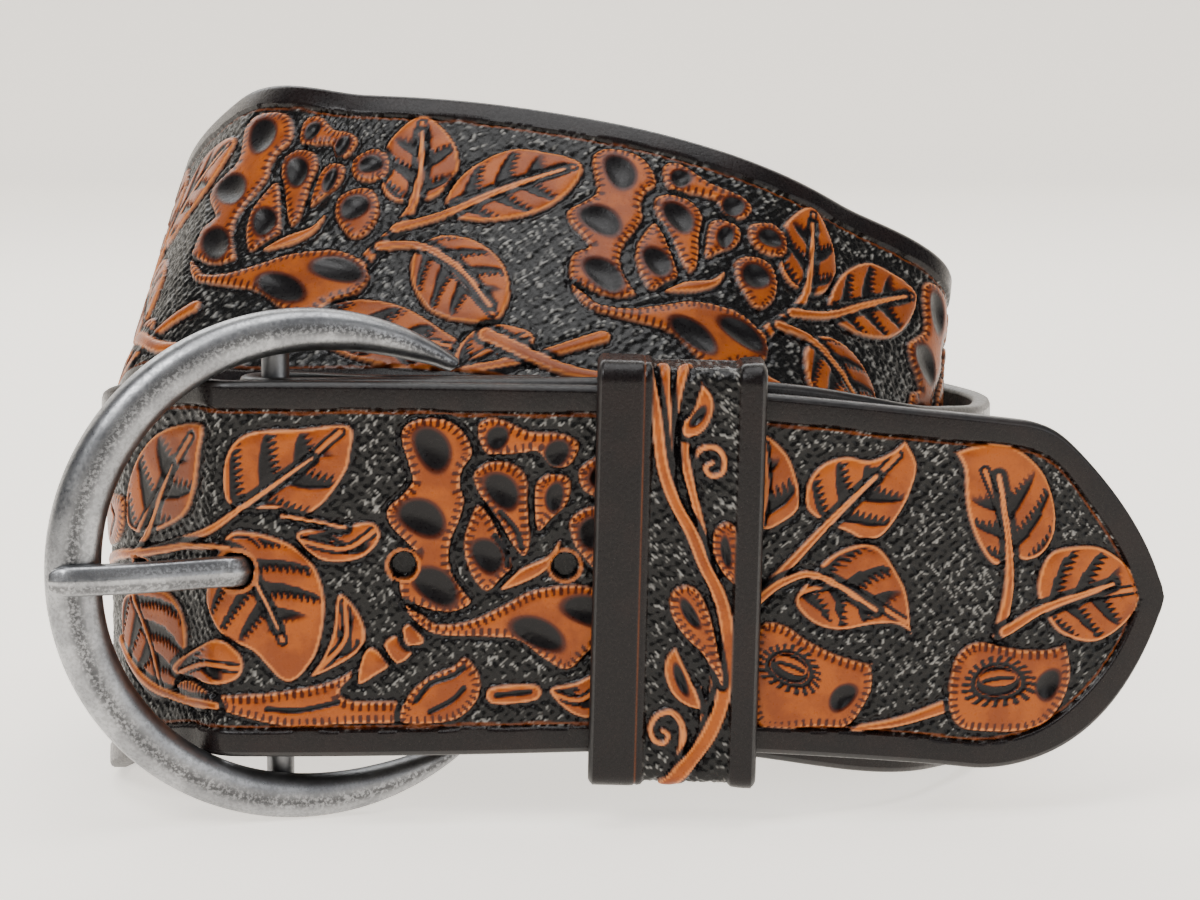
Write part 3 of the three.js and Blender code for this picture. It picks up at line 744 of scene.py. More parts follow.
    def smooth_over(self, band, height):
        """Takes all tooling out of a band, which is left dark and at this height."""
        for marks in (self.tan, self.light, self.dark):
            marks *= 1 - band
        self.height = self.height * (1 - band) + height * band
        self.border = np.maximum(self.border, band)

    def bind_border(self):
        """The smooth dark band along the edges, with the groove and line at its inside."""
        wave = 0.12 * np.sin(self.x * 0.21) + 0.08 * np.sin(self.x * 0.53)
        inset = self.edge + wave
        band = 1 - smoothstep(BORDER_WIDTH - 0.15, BORDER_WIDTH + 0.15, inset)
        groove = pulse(inset, BORDER_WIDTH - 0.1, BORDER_WIDTH + 0.25)
        line = pulse(inset, BORDER_WIDTH + 0.35, BORDER_WIDTH + 0.6)
        swell = 0.02 + 0.06 * np.sin(np.clip(inset / BORDER_WIDTH, 0, 1) * math.pi)
        self.smooth_over(band, swell)
        self.height -= 0.22 * groove
        self.light *= 1 - line
        self.tan = np.maximum(self.tan, 0.42 * line)
        self.dark *= 1 - line


def placed(place, oval):
    """An oval of the photograph, by its middle, half sizes and degrees, as place() lays it."""
    x, y, length, width, turn = oval
    along, up = place([(x, y)])[0]
    return along, up, length / PIXELS_PER_MM, width / PIXELS_PER_MM, math.radians(turn)


def flower(tooling, place):
    """A flower, whose pixels place() turns into places on the strap."""
    for outline in FLOWER_PETALS:
        tooling.shape(place(outline))
    for oval in FLOWER_HOLLOWS:
        tooling.hollow(*placed(place, oval))


def tool_repeat(tooling, flower_along):
    """One repeat of the pattern: a flower, the sprig right of it and the leaves below."""

    def place(pixels):
        pixels = np.asarray(pixels, float)
        right = (pixels[:, 0] - FLOWER_CENTRE[0]) / PIXELS_PER_MM
        above = FLOWER_ABOVE_MIDDLE - (pixels[:, 1] - FLOWER_CENTRE[1]) / PIXELS_PER_MM_UP
        return np.column_stack([flower_along + right, above])

    def shifted(points):
        return np.asarray(points, float) + np.array([flower_along, 0])

    for outline, rib, bands in REPEAT_LEAVES:
        tooling.leaf(shifted(outline), shifted(rib), bands)
    for line, foot, tip in REPEAT_STEMS:
        tooling.stem(shifted(line), foot, tip)
    flower(tooling, place)


def tool_front(tooling):
    """The tip's strand, whose tooling is placed from the photograph."""
    lookup = PictureLookup(TIP_TOOLING_START, TOTAL)
    for outline, rib, bands in FRONT_LEAVES:
        tooling.leaf(lookup(outline), lookup(rib), bands)
    # The long petal is beaten round twice, here and with its flower, so its moat is the deepest
    for outline in FRONT_SHAPES + [LONG_PETAL]:
        tooling.shape(lookup(outline))
    for line, foot, tip in FRONT_STEMS:
        tooling.stem(lookup(line), foot / PIXELS_PER_MM, tip / PIXELS_PER_MM)
    flower(tooling, lookup)
    for outline, eye, hollow in FRONT_BUDS:
        tooling.shape(lookup(outline))
        tooling.eye(*placed(lookup, eye))
        tooling.hollow(*placed(lookup, hollow))
    for line in FRONT_CUTS:
        tooling.line_cut(lookup(line))
    punch_holes(tooling, lookup(FRONT_HOLES))


def punch_holes(tooling, seen):
    """The two holes that are seen, the prong's hole left of them, and one more on each side."""
    for place in seen:
        tooling.hole(*place)
    first = seen[0][0]
    tooling.hole(first + 2 * HOLE_PITCH, 0)
    tooling.hole(first - HOLE_PITCH - USED_HOLE_SHIFT, 0, USED_HOLE_RADIUS)
    tooling.hole(first - 2 * HOLE_PITCH, 0)


def edge_distance(along, up, half):
    """Distance of places to the strap's outline, also round its tip."""
    gap = half[:, None] - np.abs(up)
    near_tip = along > TOTAL - 0.9 * TIP_OUTLINE_LENGTH
    if near_tip.any():
        s = np.linspace(TOTAL - TIP_OUTLINE_LENGTH, TOTAL, 60)
        h = half_width(TOTAL - s)
        outline = np.vstack([np.column_stack([s, h]), np.column_stack([s, -h])[::-1]])
        x = along[near_tip][:, None] + 0 * up[near_tip]
        gap[near_tip] = to_line(x, up[near_tip], outline)[0]
    return gap


def only(thing):
    bpy.ops.object.select_all(action="DESELECT")
    thing.select_set(True)
    bpy.context.view_layer.objects.active = thing


def finish_mesh(thing, angle=50):
    only(thing)
    bpy.ops.object.mode_set(mode="EDIT")
    bpy.ops.mesh.select_all(action="SELECT")
    bpy.ops.mesh.normals_make_consistent(inside=False)
    bpy.ops.object.mode_set(mode="OBJECT")
    bpy.ops.object.shade_smooth_by_angle(angle=math.radians(angle))


def add_marks(mesh, marks):
    """Four values from 0 to 1 at each point, which the materials read."""
    layer = mesh.color_attributes.new("marks", "FLOAT_COLOR", "POINT")
    layer.data.foreach_set("color", np.asarray(marks, float).ravel())


def add_flat_map(mesh, flat_map):
    """The leather laid flat, in metres."""
    corner_points = np.zeros(len(mesh.loops), int)
    mesh.loops.foreach_get("vertex_index", corner_points)
    uv = mesh.uv_layers.new(name="flat")
    uv.data.foreach_set("uv", (flat_map[corner_points] / 1000).ravel())


def make_object(name, points, faces, materials, slots, marks, flat_map=None):
    """A piece from points and faces, with the material slot of each face."""
    mesh = bpy.data.meshes.new(name)
    mesh.from_pydata(to_metres(points.reshape(-1, 3)).tolist(), [], faces)
    for material in materials:
        mesh.materials.append(material)
    mesh.polygons.foreach_set("material_index", slots)
    add_marks(mesh, marks)
    if flat_map is not None:
        add_flat_map(mesh, flat_map.reshape(-1, 2))
    thing = bpy.data.objects.new(name, mesh)
    bpy.context.scene.collection.objects.link(thing)
    finish_mesh(thing)
    return thing


def metal_object(name, points, faces, material, marks):
    return make_object(name, points, faces, [material], np.zeros(len(faces), int), marks)


def ring_faces(rows, columns, closed_rows=False):
    """Quads between rings of points, and two end faces if the rings don't close on themselves."""
    first = np.arange(rows if closed_rows else rows - 1)
    i, j = np.meshgrid(first, np.arange(columns), indexing="ij")
    here = i * columns
    after = (i + 1) % rows * columns
    right = (j + 1) % columns
    faces = np.stack([here + j, here + right, after + right, after + j], -1).reshape(-1, 4).tolist()
    if not closed_rows:
        faces.append(list(range(columns))[::-1])
        faces.append([(rows - 1) * columns + k for k in range(columns)])
    return faces


def across_face(half, columns):
    """Places across the strap's flat front or back, from one rounded edge to the other."""
    flat_half = np.maximum(half - EDGE_ROUND, half * 0.4)
    return np.linspace(-1, 1, columns)[None, :] * flat_half[:, None]


def strap_section(half, front, relief):
    """How far up and out the points of each section lie: front, upper edge, back, lower edge."""
    shrink = np.minimum(1, half / 3)
    edges = []
    for inset, out in EDGE_STEPS:
        edges.append(((half - inset * shrink)[:, None], np.full((len(half), 1), out)))
    back = -across_face(half, BACK_COLUMNS)
    up_parts = [front] + [up for up, _ in edges] + [back] + [-up for up, _ in edges[::-1]]
    out_parts = [STRAP_THICKNESS / 2 + relief] + [out for _, out in edges]
    out_parts += [np.full(back.shape, -STRAP_THICKNESS / 2)] + [out for _, out in edges[::-1]]
    return np.hstack(up_parts), np.hstack(out_parts)


def strap_slots(rows, columns, count):
    """The finish of each of the strap's faces: 0 tooled, 1 edge, 2 back."""
    column = np.tile(np.arange(count), rows - 1)
    slots = np.where(column < columns - 1, 0, 1)
    first_back = columns + len(EDGE_STEPS)
    is_back = (column >= first_back) & (column < count - len(EDGE_STEPS) - 1)
    return np.r_[np.where(is_back, 2, slots), 1, 1]


def strap_piece(name, first, last, cell, paint, materials):
    """One stretch of the strap as a closed body, its front tooled by paint()."""
    rows = int(round((last - first) / cell)) + 1
    columns = int(round(STRAP_WIDTH / cell))
    along = np.linspace(first, last, rows)
    half = half_width(TOTAL - along)
    front = across_face(half, columns)
    tooling = Tooling(along[:, None] + 0 * front, front, edge_distance(along, front, half))
    paint(tooling)
    tooling.bind_border()
    up, out = strap_section(half, front, tooling.height)
    points = (on_path(along, CENTRE)[:, None] + on_path(along, UP)[:, None] * up[..., None]
              + on_path(along, OUT)[:, None] * out[..., None])
    count = up.shape[1]
    marks = np.zeros((rows, count, 4))
    marks[:, :columns] = tooling.marks()
    marks[:, columns:, 3] = 1
    slots = strap_slots(rows, columns, count)
    flat = np.stack([along[:, None] + 0 * up, up], -1)
    return make_object(name, points, ring_faces(rows, count), materials, slots, marks, flat)


def keeper_place(pixels):
    """Places along and across the keeper's front at which pixels of the photograph lie."""
    pixels = np.asarray(pixels, float)
    right = (pixels[:, 0] - KEEPER_MIDDLE[0]) / KEEPER_SCALE[0]
    above = (KEEPER_MIDDLE[1] - pixels[:, 1]) / KEEPER_SCALE[1]
    across = right * math.cos(KEEPER_TURN) - above * math.sin(KEEPER_TURN)
    along = above * math.cos(KEEPER_TURN) + right * math.sin(KEEPER_TURN)
    return np.column_stack([along, across])


def tool_keeper(tooling):
    """The keeper's scrolls, between a raised dark band at each side, and its thin bare line."""
    for line, foot, tip in KEEPER_SCROLLS:
        tooling.stem(keeper_place(line), foot / PIXELS_PER_MM, tip / PIXELS_PER_MM)
    for outline, hollow in KEEPER_LEAVES:
        tooling.shape(keeper_place(outline), 0.8)
        tooling.hollow(*placed(keeper_place, hollow))
    for column, side in KEEPER_BANDS:
        inset = (tooling.y - keeper_place([(column, KEEPER_ROW)])[0][1]) * side
        rise = 0.12 + 0.35 * np.sqrt(np.clip(inset / 2.2, 0, 1))
        tooling.smooth_over(smoothstep(-0.15, 0.15, inset), rise)
    line = pulse(tooling.y - keeper_place([(KEEPER_LINE, KEEPER_ROW)])[0][1], -0.12, 0.12)
    tooling.tan = np.maximum(tooling.tan, 0.35 * line)
    tooling.border *= 1 - line
    tooling.height -= 0.15 * line


def keeper_outline():
    """Places and ways out round the keeper's section, how deep and how high, its front finest."""
    deep = KEEPER_DEPTH - 2 * KEEPER_CORNER
    high = KEEPER_HEIGHT - 2 * KEEPER_CORNER
    corners = [
        # sides of the middle, quarter turns to its start, way along the side after it, its length
        (-1, -1, 2, (1, 0), deep, KEEPER_SPACING), (1, -1, 3, (0, 1), high, KEEPER_SPACING),
        (1, 1, 0, (-1, 0), deep, KEEPER_SPACING), (-1, 1, 1, (0, -1), high, KEEPER_FRONT_SPACING),
    ]
    places, ways = [], []
    for deep_side, high_side, quarters, towards, length, spacing in corners:
        centre = np.array([deep_side * (KEEPER_DEPTH / 2 - KEEPER_CORNER),
                           high_side * (KEEPER_HEIGHT / 2 - KEEPER_CORNER)])
        for k in range(KEEPER_CORNER_STEPS + 1):
            angle = quarters * math.pi / 2 + math.pi / 2 * k / KEEPER_CORNER_STEPS
            way = np.array([math.cos(angle), math.sin(angle)])
            places.append(centre + KEEPER_CORNER * way)
            ways.append(way)
        count = int(length / spacing)
        for k in range(1, count):
            places.append(centre + np.array(towards) * length * k / count + KEEPER_CORNER * way)
            ways.append(way)
    return np.array(places), np.array(ways)


def keeper_relief(places, ways, across):
    """Height and marks at each row of the keeper, tooled at its front, top and bottom."""
    at_front = ways[:, 0] < -0.2
    folded_out = np.sign(places[:, 1]) * (KEEPER_HEIGHT / 2 + KEEPER_DEPTH / 2 + places[:, 0])
    laid_flat = np.where(at_front, places[:, 1], folded_out)
    order = np.argsort(laid_flat)
    x = laid_flat[order][:, None] + 0 * across[None, :]
    y = across[None, :] + 0 * x
    tooling = Tooling(x, y, KEEPER_WIDTH / 2 - np.abs(y))
    tool_keeper(tooling)
    in_place = np.argsort(order)
    shown = (at_front | (np.abs(ways[:, 1]) > 0.9)).astype(float)[:, None]
    relief = tooling.height[in_place] * shown + 0.1 * (1 - shown)
    marks = tooling.marks()[in_place] * shown[..., None]
    marks[..., 3] = np.maximum(marks[..., 3], 1 - shown)
    return relief, marks


def keeper_points(places, ways, across, out):
    depth = places[:, :1] + ways[:, :1] * out
    height = places[:, 1:] + ways[:, 1:] * out
    x = across * math.cos(KEEPER_TURN) + height * math.sin(KEEPER_TURN)
    z = height * math.cos(KEEPER_TURN) - across * math.sin(KEEPER_TURN)
    return np.stack([KEEPER_CENTRE[0] + x, KEEPER_CENTRE[1] + depth, KEEPER_CENTRE[2] + z], -1)


def keeper_slots(rows, count):
    """The finish of each of the keeper's faces: 0 tooled, 1 edge, 2 back."""
    column = np.tile(np.arange(count), rows)
    inside = KEEPER_COLUMNS + len(KEEPER_SIDE_STEPS) - 1
    slots = np.where(column < KEEPER_COLUMNS - 1, 0, 1)
    return np.where(column == inside, 2, slots)


def keeper_piece(materials):
    """The loop that holds the tip's strand, its front face tooled."""
    places, ways = keeper_outline()
    half = KEEPER_WIDTH / 2
    face = np.linspace(-1, 1, KEEPER_COLUMNS) * (half - KEEPER_FACE_INSET)
    relief, face_marks = keeper_relief(places, ways, face)
    sides = [(half - inset, depth) for inset, depth in KEEPER_SIDE_STEPS]
    sides += [(-across, depth) for across, depth in sides[::-1]]
    rows = len(places)
    across = np.hstack([np.tile(face, (rows, 1))] + [np.full((rows, 1), a) for a, _ in sides])
    out = np.hstack([relief - 0.1] + [np.full((rows, 1), -depth) for _, depth in sides])
    count = across.shape[1]
    marks = np.zeros((rows, count, 4))
    marks[:, :KEEPER_COLUMNS] = face_marks
    marks[:, KEEPER_COLUMNS:, 3] = 1
    flat = np.stack([distance_along(places)[:, None] + 0 * across, across], -1)
    faces = ring_faces(rows, count, closed_rows=True)
    points = keeper_points(places, ways, across, out)
    return make_object("keeper_tooled", points, faces, materials, keeper_slots(rows, count), marks, flat)


def frame_angles():
    """Where the horseshoe's sections stand, in degrees, and how far its rounded ends narrow them."""
    caps = np.array(FRAME_CAP_STEPS)
    span = np.arange(FRAME_OPENING, 360 - FRAME_OPENING + 0.1, 1.5)
    first = FRAME_OPENING - 1.0 + caps * 0.9
    last = 360 - FRAME_OPENING + 1.0 - (caps * 0.9)[::-1]
    angles = np.r_[first, span, last]
    narrow = np.ones(len(angles))
    narrow[:len(caps)] = np.sqrt(1 - (1 - caps) ** 2) * 0.98 + 0.02
    narrow[-len(caps):] = narrow[:len(caps)][::-1]
    return angles, narrow


def frame_sizes(angles):
    """Width and depth of the frame's sections."""
    angles = np.clip(angles, FRAME_OPENING, 360 - FRAME_OPENING)
    degrees, shares = np.array(FRAME_SHARES).T
    share = np.interp(np.where(angles > 180, 360 - angles, angles), degrees, shares)
    share = np.convolve(np.pad(share, 4, mode="edge"), np.ones(9) / 9, mode="valid")
    depth = FRAME_DEPTH * (FRAME_THIN_SHARE + (1 - FRAME_THIN_SHARE) * share)
    return (FRAME_WIDTH * share)[:, None], depth[:, None]


def squared(value):
    return np.sign(value) * np.abs(value) ** SECTION_POWER


def frame_points(around):
    """The frame's sections, turned about the bar as the frame hangs."""
    angles, narrow = frame_angles()
    width, depth = frame_sizes(angles)
    narrow = narrow[:, None]
    turn = np.radians(angles)[:, None]
    radius = FRAME_RADIUS - width / 2 + width / 2 * squared(np.cos(around)) * narrow
    y = depth / 2 * squared(np.sin(around)) * narrow - BAR_BEHIND_FRAME
    x = BAR_FROM_CENTRE + radius * np.cos(turn)
    turned_x = x * math.cos(FRAME_TURN) - y * math.sin(FRAME_TURN)
    turned_y = x * math.sin(FRAME_TURN) + y * math.cos(FRAME_TURN)
    return np.stack([BAR_X + turned_x, BAR_Y + turned_y, FRONT_HEIGHT + radius * np.sin(turn)], -1)


def frame_piece(material):
    """The horseshoe: a rounded section that swells to the left, its ends rounded off."""
    around = np.linspace(0, 2 * math.pi, FRAME_SIDES, endpoint=False)
    points = frame_points(around)
    facing = np.clip(-np.sin(around), 0, 1)
    marks = np.ones(points.shape[:2] + (4,))
    marks[..., 0] = np.exp(-((np.cos(around) - 0.12) / 0.3) ** 2) * facing
    # The second mark is painted shade on the frame's inner side, next to the strap.
    marks[..., 1] = smoothstep(0.55, 0.98, -np.cos(around))
    marks[..., 2] = 1 - facing
    return metal_object("buckle_horseshoe", points, ring_faces(*points.shape[:2]), material, marks)


def bar_piece(material):
    """The straight bar behind the strap, its ends in the frame."""
    height = 2 * (FRAME_RADIUS - FRAME_WIDTH * BAR_END_SHARE)
    bpy.ops.object.select_all(action="DESELECT")
    bpy.ops.mesh.primitive_cylinder_add(vertices=40, radius=BAR_RADIUS / 1000, depth=height / 1000,
                                        location=to_metres((BAR_X, BAR_Y, FRONT_HEIGHT)))
    bar = bpy.context.object
    bar.name = "buckle_bar"
    bpy.ops.object.transform_apply(location=True, rotation=True, scale=True)
    bevel = bar.modifiers.new("bevel", "BEVEL")
    bevel.width = BAR_BEVEL / 1000
    bevel.segments = 3
    bpy.ops.object.modifier_apply(modifier="bevel")
    bpy.ops.object.shade_smooth_by_angle(angle=math.radians(40))
    bar.data.materials.append(material)
    # The second mark is 1: the whole bar is painted in shade behind the strap.
    add_marks(bar.data, [0.0, 1.0, 0.6, 1.0] * len(bar.data.vertices))
    return bar


def shank_line():
    """The prong's way, seen from above: off its loop, through the hole and over the frame."""
    front_face = -STRAP_THICKNESS / 2 - GAP - PRONG_THICKNESS / 2
    loop = BAR_RADIUS + GAP + PRONG_LOOP_WALL / 2
    off_frame = BAR_BEHIND_FRAME + FRAME_DEPTH / 2 + GAP + PRONG_THICKNESS / 2
    hole = BAR_X - PRONG_PAST_HOLE
    rows = [(BAR_X - loop * 0.98, BAR_Y - loop * 0.45), (hole + 0.5, STRAP_THICKNESS * 0.6),
            (hole + 0.1, -STRAP_THICKNESS * 0.3), (hole - 1.2, front_face * 0.8),
            (hole - 3.4, front_face)]
    for frame_widths_in, lower in ((1.6, 0), (0.5, 0), (0.2, 0.5), (0.02, 1.1)):
        left = FRAME_RADIUS - BAR_FROM_CENTRE - FRAME_WIDTH * frame_widths_in
        forward = off_frame - lower
        rows.append((BAR_X - left * math.cos(FRAME_TURN) + forward * math.sin(FRAME_TURN),
                     BAR_Y - left * math.sin(FRAME_TURN) - forward * math.cos(FRAME_TURN)))
    return rows


def prong_section():
    """Shares of the prong's width and thickness round its section, ridged at the front."""
    other_half = [(-up, out) for up, out in PRONG_HALF_SECTION[::-1]]
    points = PRONG_HALF_SECTION + [(0.0, 0.5)] + other_half + [(0.0, -0.5)]
    return through(points, 3, closed=True).T


def prong_piece(material):
    """The shank, with a soft ridge along its front, out of the loop and over the frame."""
    line = through(shank_line(), 14)
    ahead = unit(np.gradient(line, axis=0))
    forward = np.column_stack([-ahead[:, 1], ahead[:, 0]])
    along = distance_along(line)
    left = np.clip((along[-1] - along) / PRONG_TIP_LENGTH, 0, 1)
    narrow = (0.45 + 0.55 * np.sqrt(np.clip(1 - (1 - left) ** 2, 0, 1)))[:, None]
    wide, thick = prong_section()
    out = thick * PRONG_THICKNESS * narrow
    up = wide * PRONG_WIDTH * narrow
    x = line[:, :1] + forward[:, :1] * out
    y = line[:, 1:] + forward[:, 1:] * out
    points = np.stack([x, y, FRONT_HEIGHT + up], -1)
    marks = np.zeros(points.shape[:2] + (4,))
    marks[..., 0] = 0.75 * pulse(np.abs(wide), 0.16, 0.36) * (thick > 0)
    # The second mark is painted shade on the prong's back, which faces the strap.
    marks[..., 1] = thick < -0.1
    marks[..., 3] = 1
    return metal_object("prong_shank", points, ring_faces(*points.shape[:2]), material, marks)


def loop_piece(material):
    """The prong's loop round the bar."""
    inner = BAR_RADIUS + GAP
    outer = inner + PRONG_LOOP_WALL
    half = PRONG_WIDTH / 2
    section = through([(inner, -half * 0.8), (inner, half * 0.8), (inner + 0.3, half),
                       (outer - 0.4, half), (outer, half * 0.75), (outer, -half * 0.75),
                       (outer - 0.4, -half), (inner + 0.3, -half)], 3, closed=True)
    radius = np.clip(section[:, 0], inner, outer)
    turn = np.linspace(0, 2 * math.pi, LOOP_SIDES, endpoint=False)[:, None]
    height = FRONT_HEIGHT + section[:, 1] + 0 * turn
    points = np.stack([BAR_X + radius * np.cos(turn), BAR_Y + radius * np.sin(turn), height], -1)
    faces = ring_faces(LOOP_SIDES, len(section), closed_rows=True)
    # The second mark is 1: the whole loop is painted in shade round the bar.
    marks = np.tile([0.0, 1.0, 0.3, 1.0], (LOOP_SIDES * len(section), 1))
    return metal_object("prong_loop", points, faces, material, marks)


def add_node(tree, kind, **values):
    node = tree.nodes.new(kind)
    for key, value in values.items():
        setattr(node, key, value)
    return node


def feed(tree, socket, value):
    """Links a socket into another, or sets a fixed value."""
    if isinstance(value, bpy.types.NodeSocket):
        tree.links.new(value, socket)
    else:
        socket.default_value = value


def mix(tree, factor, first, second):
    """A colour mix; each argument is a socket or a fixed value."""
    node = add_node(tree, "ShaderNodeMix", data_type="RGBA")
    for socket, value in ((node.inputs[0], factor), (node.inputs[6], first), (node.inputs[7], second)):
        feed(tree, socket, value)
    return node.outputs[2]


def maths(tree, operation, first, second, clamp=False):
    node = add_node(tree, "ShaderNodeMath", operation=operation, use_clamp=clamp)
    feed(tree, node.inputs[0], first)
    feed(tree, node.inputs[1], second)
    return node.outputs[0]


def spread(tree, value, low, high, to_low=0.0, to_high=1.0):
    """Stretches a value's range from low to high over another range, smoothly."""
    node = add_node(tree, "ShaderNodeMapRange", interpolation_type="SMOOTHSTEP")
    feed(tree, node.inputs[0], value)
    for socket, number in zip(node.inputs[1:5], (low, high, to_low, to_high)):
        socket.default_value = number
    return node.outputs[0]


def noise(tree, place, scale, detail=3.0, roughness=0.55):
    node = add_node(tree, "ShaderNodeTexNoise")
    tree.links.new(place, node.inputs["Vector"])
    node.inputs["Scale"].default_value = scale
    node.inputs["Detail"].default_value = detail
    node.inputs["Roughness"].default_value = roughness
    return node.outputs[0]


def wear_group():
    """Shared by all finishes: a slow mottle, a fine grain and sparse specks, each from 0 to 1."""
    group = bpy.data.node_groups.new("wear", "ShaderNodeTree")
    for name in ("Mottle", "Grain", "Specks"):
        group.interface.new_socket(name, in_out="OUTPUT", socket_type="NodeSocketFloat")
    end = add_node(group, "NodeGroupOutput")
    place = add_node(group, "ShaderNodeTexCoord").outputs["Object"]
    mottle = spread(group, noise(group, place, 140, 4), 0.3, 0.7)
    grain = noise(group, place, 1900, 4, 0.6)
    specks = spread(group, noise(group, place, 900, 3, 0.65), 0.57, 0.70)
    for socket, value in zip(end.inputs, (mottle, grain, specks)):
        group.links.new(value, socket)
    return group


WEAR = wear_group()


def new_material(name):
    """A material, its node tree, its shader, and the mottle, grain and specks of its wear."""
    material = bpy.data.materials.new(name)
    material.use_nodes = True
    tree = material.node_tree
    wear = add_node(tree, "ShaderNodeGroup", node_tree=WEAR)
    return material, tree, tree.nodes["Principled BSDF"], wear.outputs


def read_marks(tree):
    attribute = add_node(tree, "ShaderNodeAttribute", attribute_name="marks")
    parts = add_node(tree, "ShaderNodeSeparateColor")
    tree.links.new(attribute.outputs["Color"], parts.inputs[0])
    return parts.outputs[0], parts.outputs[1], parts.outputs[2], attribute.outputs["Alpha"]


def dress(tree, shader, colour, rough):
    tree.links.new(colour, shader.inputs["Base Color"])
    tree.links.new(rough, shader.inputs["Roughness"])


def set_bump(tree, shader, height, strength, distance):
    bump = add_node(tree, "ShaderNodeBump")
    bump.inputs["Strength"].default_value = strength
    bump.inputs["Distance"].default_value = distance
    tree.links.new(height, bump.inputs["Height"])
    tree.links.new(bump.outputs[0], shader.inputs["Normal"])


def tooled_leather():
    """Bare tan where the marks say so, with paler rims and painted highlights, a black ground with
    painted glints, dark hollows and borders.
    """
    material, tree, shader, (mottle, grain, specks) = new_material("tooled_leather")
    tan, light, dark, border = read_marks(tree)
    skin = mix(tree, spread(tree, mottle, 0.1, 0.9, 0.0, 0.55), TAN, TAN_DEEP)
    skin = mix(tree, spread(tree, grain, 0.5, 0.72, 0.0, 0.22), skin, TAN_DEEP)
    # Rims and crests: paler leather with a painted highlight
    skin = mix(tree, maths(tree, "MULTIPLY", light, 0.8), skin, PALE_LEATHER_AND_HIGHLIGHT)
    ground = mix(tree, spread(tree, specks, 0.2, 1.0, 0.0, 0.3), GROUND, GROUND_WORN)
    # Painted glints: highlights painted on the ground's ridges
    ground = mix(tree, maths(tree, "MULTIPLY", light, 0.75), ground, GLINT)
    colour = mix(tree, tan, ground, skin)
    shade = maths(tree, "MULTIPLY", spread(tree, dark, 0.0, 0.4), tan)
    colour = mix(tree, shade, colour, TAN_SHADE)
    colour = mix(tree, spread(tree, dark, 0.3, 0.85), colour, HOLLOW)
    edge = mix(tree, spread(tree, mottle, 0.2, 1.0, 0.0, 0.5), BORDER, BORDER_WORN)
    colour = mix(tree, border, colour, edge)
    grain_rough = spread(tree, grain, 0.3, 0.7, 0.22, 0.36)
    dress(tree, shader, colour, maths(tree, "ADD", grain_rough, maths(tree, "MULTIPLY", tan, 0.04)))
    shader.inputs["Specular IOR Level"].default_value = 0.2
    shader.inputs["Coat Weight"].default_value = 0.06
    shader.inputs["Coat Roughness"].default_value = 0.25
    set_bump(tree, shader, grain, 0.35, 0.00012)
    return material


def leather_edge():
    material, tree, shader, (mottle, grain, _) = new_material("leather_edge")
    colour = mix(tree, spread(tree, mottle, 0.2, 0.9), EDGE, EDGE_WORN)
    dress(tree, shader, colour, spread(tree, grain, 0.3, 0.7, 0.32, 0.5))
    set_bump(tree, shader, grain, 0.3, 0.0001)
    return material


def leather_back():
    material, tree, shader, (mottle, grain, _) = new_material("leather_back")
    colour = mix(tree, spread(tree, mottle, 0.2, 0.9), BACK, BACK_PALE)
    colour = mix(tree, spread(tree, grain, 0.45, 0.7, 0.0, 0.5), colour, BACK_DARK)
    dress(tree, shader, colour, spread(tree, grain, 0.3, 0.7, 0.7, 0.9))
    set_bump(tree, shader, grain, 0.5, 0.0002)
    return material


def antique_silver():
    """Brushed silver with dark patina along its middle and in its grain, and painted shade inside the
    frame and on the sides facing the strap.
    """
    material, tree, shader, (mottle, grain, _) = new_material("antique_silver")
    middle, inner, _, _ = read_marks(tree)
    shader.inputs["Metallic"].default_value = 1.0
    bright = mix(tree, spread(tree, mottle, 0.2, 0.9), SILVER, SILVER_DULL)
    worn = maths(tree, "MULTIPLY", middle, spread(tree, grain, 0.38, 0.56, 0.3, 1.0), clamp=True)
    scattered = maths(tree, "MULTIPLY", spread(tree, grain, 0.46, 0.58), 0.22)
    patina_and_shade = maths(tree, "MAXIMUM", maths(tree, "MULTIPLY", worn, 0.85), scattered)
    # Painted shade where the second mark says so, in the same dark as the patina
    patina_and_shade = maths(tree, "MAXIMUM", patina_and_shade, maths(tree, "MULTIPLY", inner, 0.45))
    grain_rough = spread(tree, grain, 0.3, 0.7, 0.27, 0.4)
    rough = maths(tree, "ADD", grain_rough, maths(tree, "MULTIPLY", patina_and_shade, 0.18))
    dress(tree, shader, mix(tree, patina_and_shade, bright, PATINA_AND_SHADE), rough)
    set_bump(tree, shader, grain, 0.25, 0.00008)
    return material


def floor_material():
    material, tree, shader, (mottle, _, _) = new_material("studio_floor")
    colour = mix(tree, spread(tree, mottle, 0.0, 1.0, 0.0, 0.15), FLOOR, FLOOR_SHADE)
    tree.links.new(colour, shader.inputs["Base Color"])
    tree.links.new(colour, shader.inputs["Emission Color"])
    shader.inputs["Emission Strength"].default_value = 1.35
    shader.inputs["Roughness"].default_value = 0.85
    return material


def studio_floor():
    """A pale floor that curves up into a backdrop behind the belt."""
    line = through(FLOOR_PROFILE, 6)
    line[:, 1] = np.maximum(line[:, 1], 0)
    points = [(x, y, z) for x in (-FLOOR_HALF_WIDTH, FLOOR_HALF_WIDTH) for y, z in line]
    n = len(line)
    faces = [(k, k + n, k + n + 1, k + 1) for k in range(n - 1)]
    mesh = bpy.data.meshes.new("studio_floor")
    mesh.from_pydata(points, [], faces)
    mesh.materials.append(floor_material())
    floor = bpy.data.objects.new("studio_floor", mesh)
    bpy.context.scene.collection.objects.link(floor)
    only(floor)
    bpy.ops.object.shade_smooth()


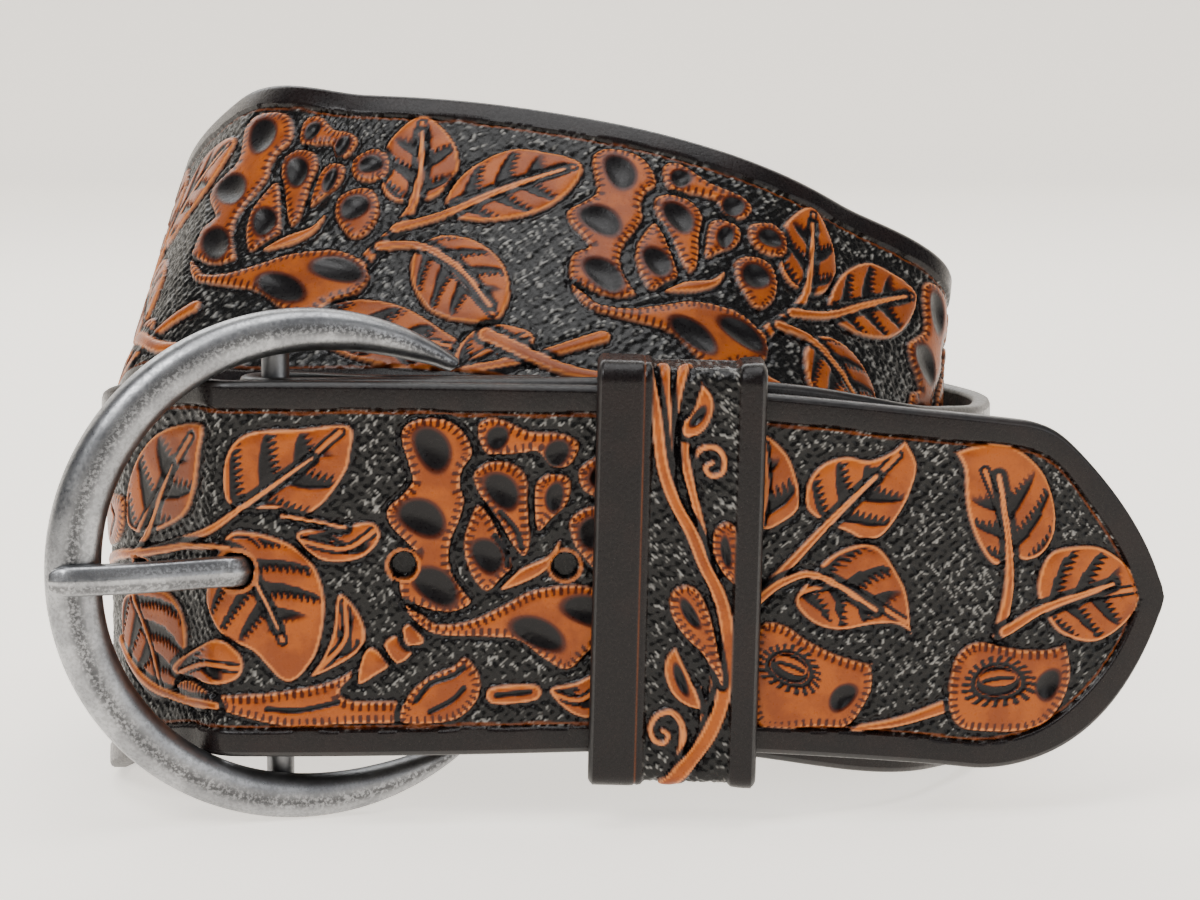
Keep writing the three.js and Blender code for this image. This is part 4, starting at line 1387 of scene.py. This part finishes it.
def area_light(name, place, size, power, colour):
    light = bpy.data.lights.new(name, "AREA")
    light.shape = "RECTANGLE"
    light.size, light.size_y = size
    light.energy = power
    light.color = colour
    thing = bpy.data.objects.new(name, light)
    thing.location = place
    towards = Vector(LIGHTS_AIM) - Vector(place)
    thing.rotation_euler = towards.to_track_quat("-Z", "Y").to_euler()
    bpy.context.scene.collection.objects.link(thing)


def studio_light():
    world = bpy.data.worlds.new("studio")
    world.use_nodes = True
    background = world.node_tree.nodes["Background"]
    background.inputs[0].default_value = WORLD_COLOUR
    background.inputs[1].default_value = WORLD_STRENGTH
    bpy.context.scene.world = world
    for light in LIGHTS:
        area_light(*light)


def studio_camera():
    """The camera that the photograph was taken with."""
    camera = bpy.data.cameras.new("camera")
    camera.sensor_width = 36
    camera.lens = FOCAL_PIXELS / PICTURE_SIZE[0] * camera.sensor_width
    camera.clip_start = 0.01
    thing = bpy.data.objects.new("camera", camera)
    back = Vector((0, -math.cos(ELEVATION), math.sin(ELEVATION)))
    thing.location = Vector(to_metres(TARGET)) + back * DISTANCE / 1000
    thing.rotation_euler = (-back).to_track_quat("-Z", "Y").to_euler()
    bpy.context.scene.collection.objects.link(thing)
    bpy.context.scene.camera = thing


def belong(thing, node):
    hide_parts(node)
    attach(thing, "root")


def flower_places():
    """Distances along the strap of all flowers outside the tip's strand."""
    lookup = PictureLookup(UPPER_TURN_START, UPPER_TURN_END)
    left, right = lookup(UPPER_FLOWERS)[:, 0]
    places = [left + k * (right - left) for k in range(-7, 9)]
    return [along for along in places if along < LAST_FLOWER]


def keeper_crossing():
    """How far along the strap the tip's strand passes the keeper's middle."""
    last_steps = 300
    from_end = np.argmin(np.abs(CENTRE[::-1, 0][:last_steps] - KEEPER_CENTRE[0]))
    return ALONG[len(ALONG) - 1 - from_end]


def build_strap():
    materials = [tooled_leather(), leather_edge(), leather_back()]
    flowers = flower_places()

    def paint_repeats(tooling):
        first, last = tooling.x[0, 0], tooling.x[-1, 0]
        for along in flowers:
            if first - REPEAT_RIGHT < along < last + REPEAT_LEFT:
                tool_repeat(tooling, along)

    def paint_front(tooling):
        paint_repeats(tooling)
        tool_front(tooling)

    coarse = 0.8
    keeper_along = keeper_crossing()
    stretches = [
        # name, first and last place along the strap, spacing of its mesh, and how it is tooled
        ("strap_fold_and_right", 0.0, UPPER_TURN_START, coarse, paint_repeats),
        ("strap_upper_turn", UPPER_TURN_START, UPPER_TURN_END, 0.39, paint_repeats),
        ("strap_back_turn", UPPER_TURN_END, TIP_TURN_START, coarse, paint_repeats),
        ("strap_front", TIP_TURN_START, keeper_along, 0.3, paint_front),
        ("strap_tip", keeper_along, TOTAL, 0.28, tool_front),
    ]
    for stretch in stretches:
        belong(strap_piece(*stretch, materials), "strap")
    belong(keeper_piece(materials), "keeper")


def build_buckle():
    silver = antique_silver()
    for piece in (frame_piece(silver), bar_piece(silver)):
        belong(piece, "buckle_frame")
    for piece in (prong_piece(silver), loop_piece(silver)):
        belong(piece, "buckle_prong")


build_strap()
build_buckle()
studio_floor()
studio_light()
studio_camera()
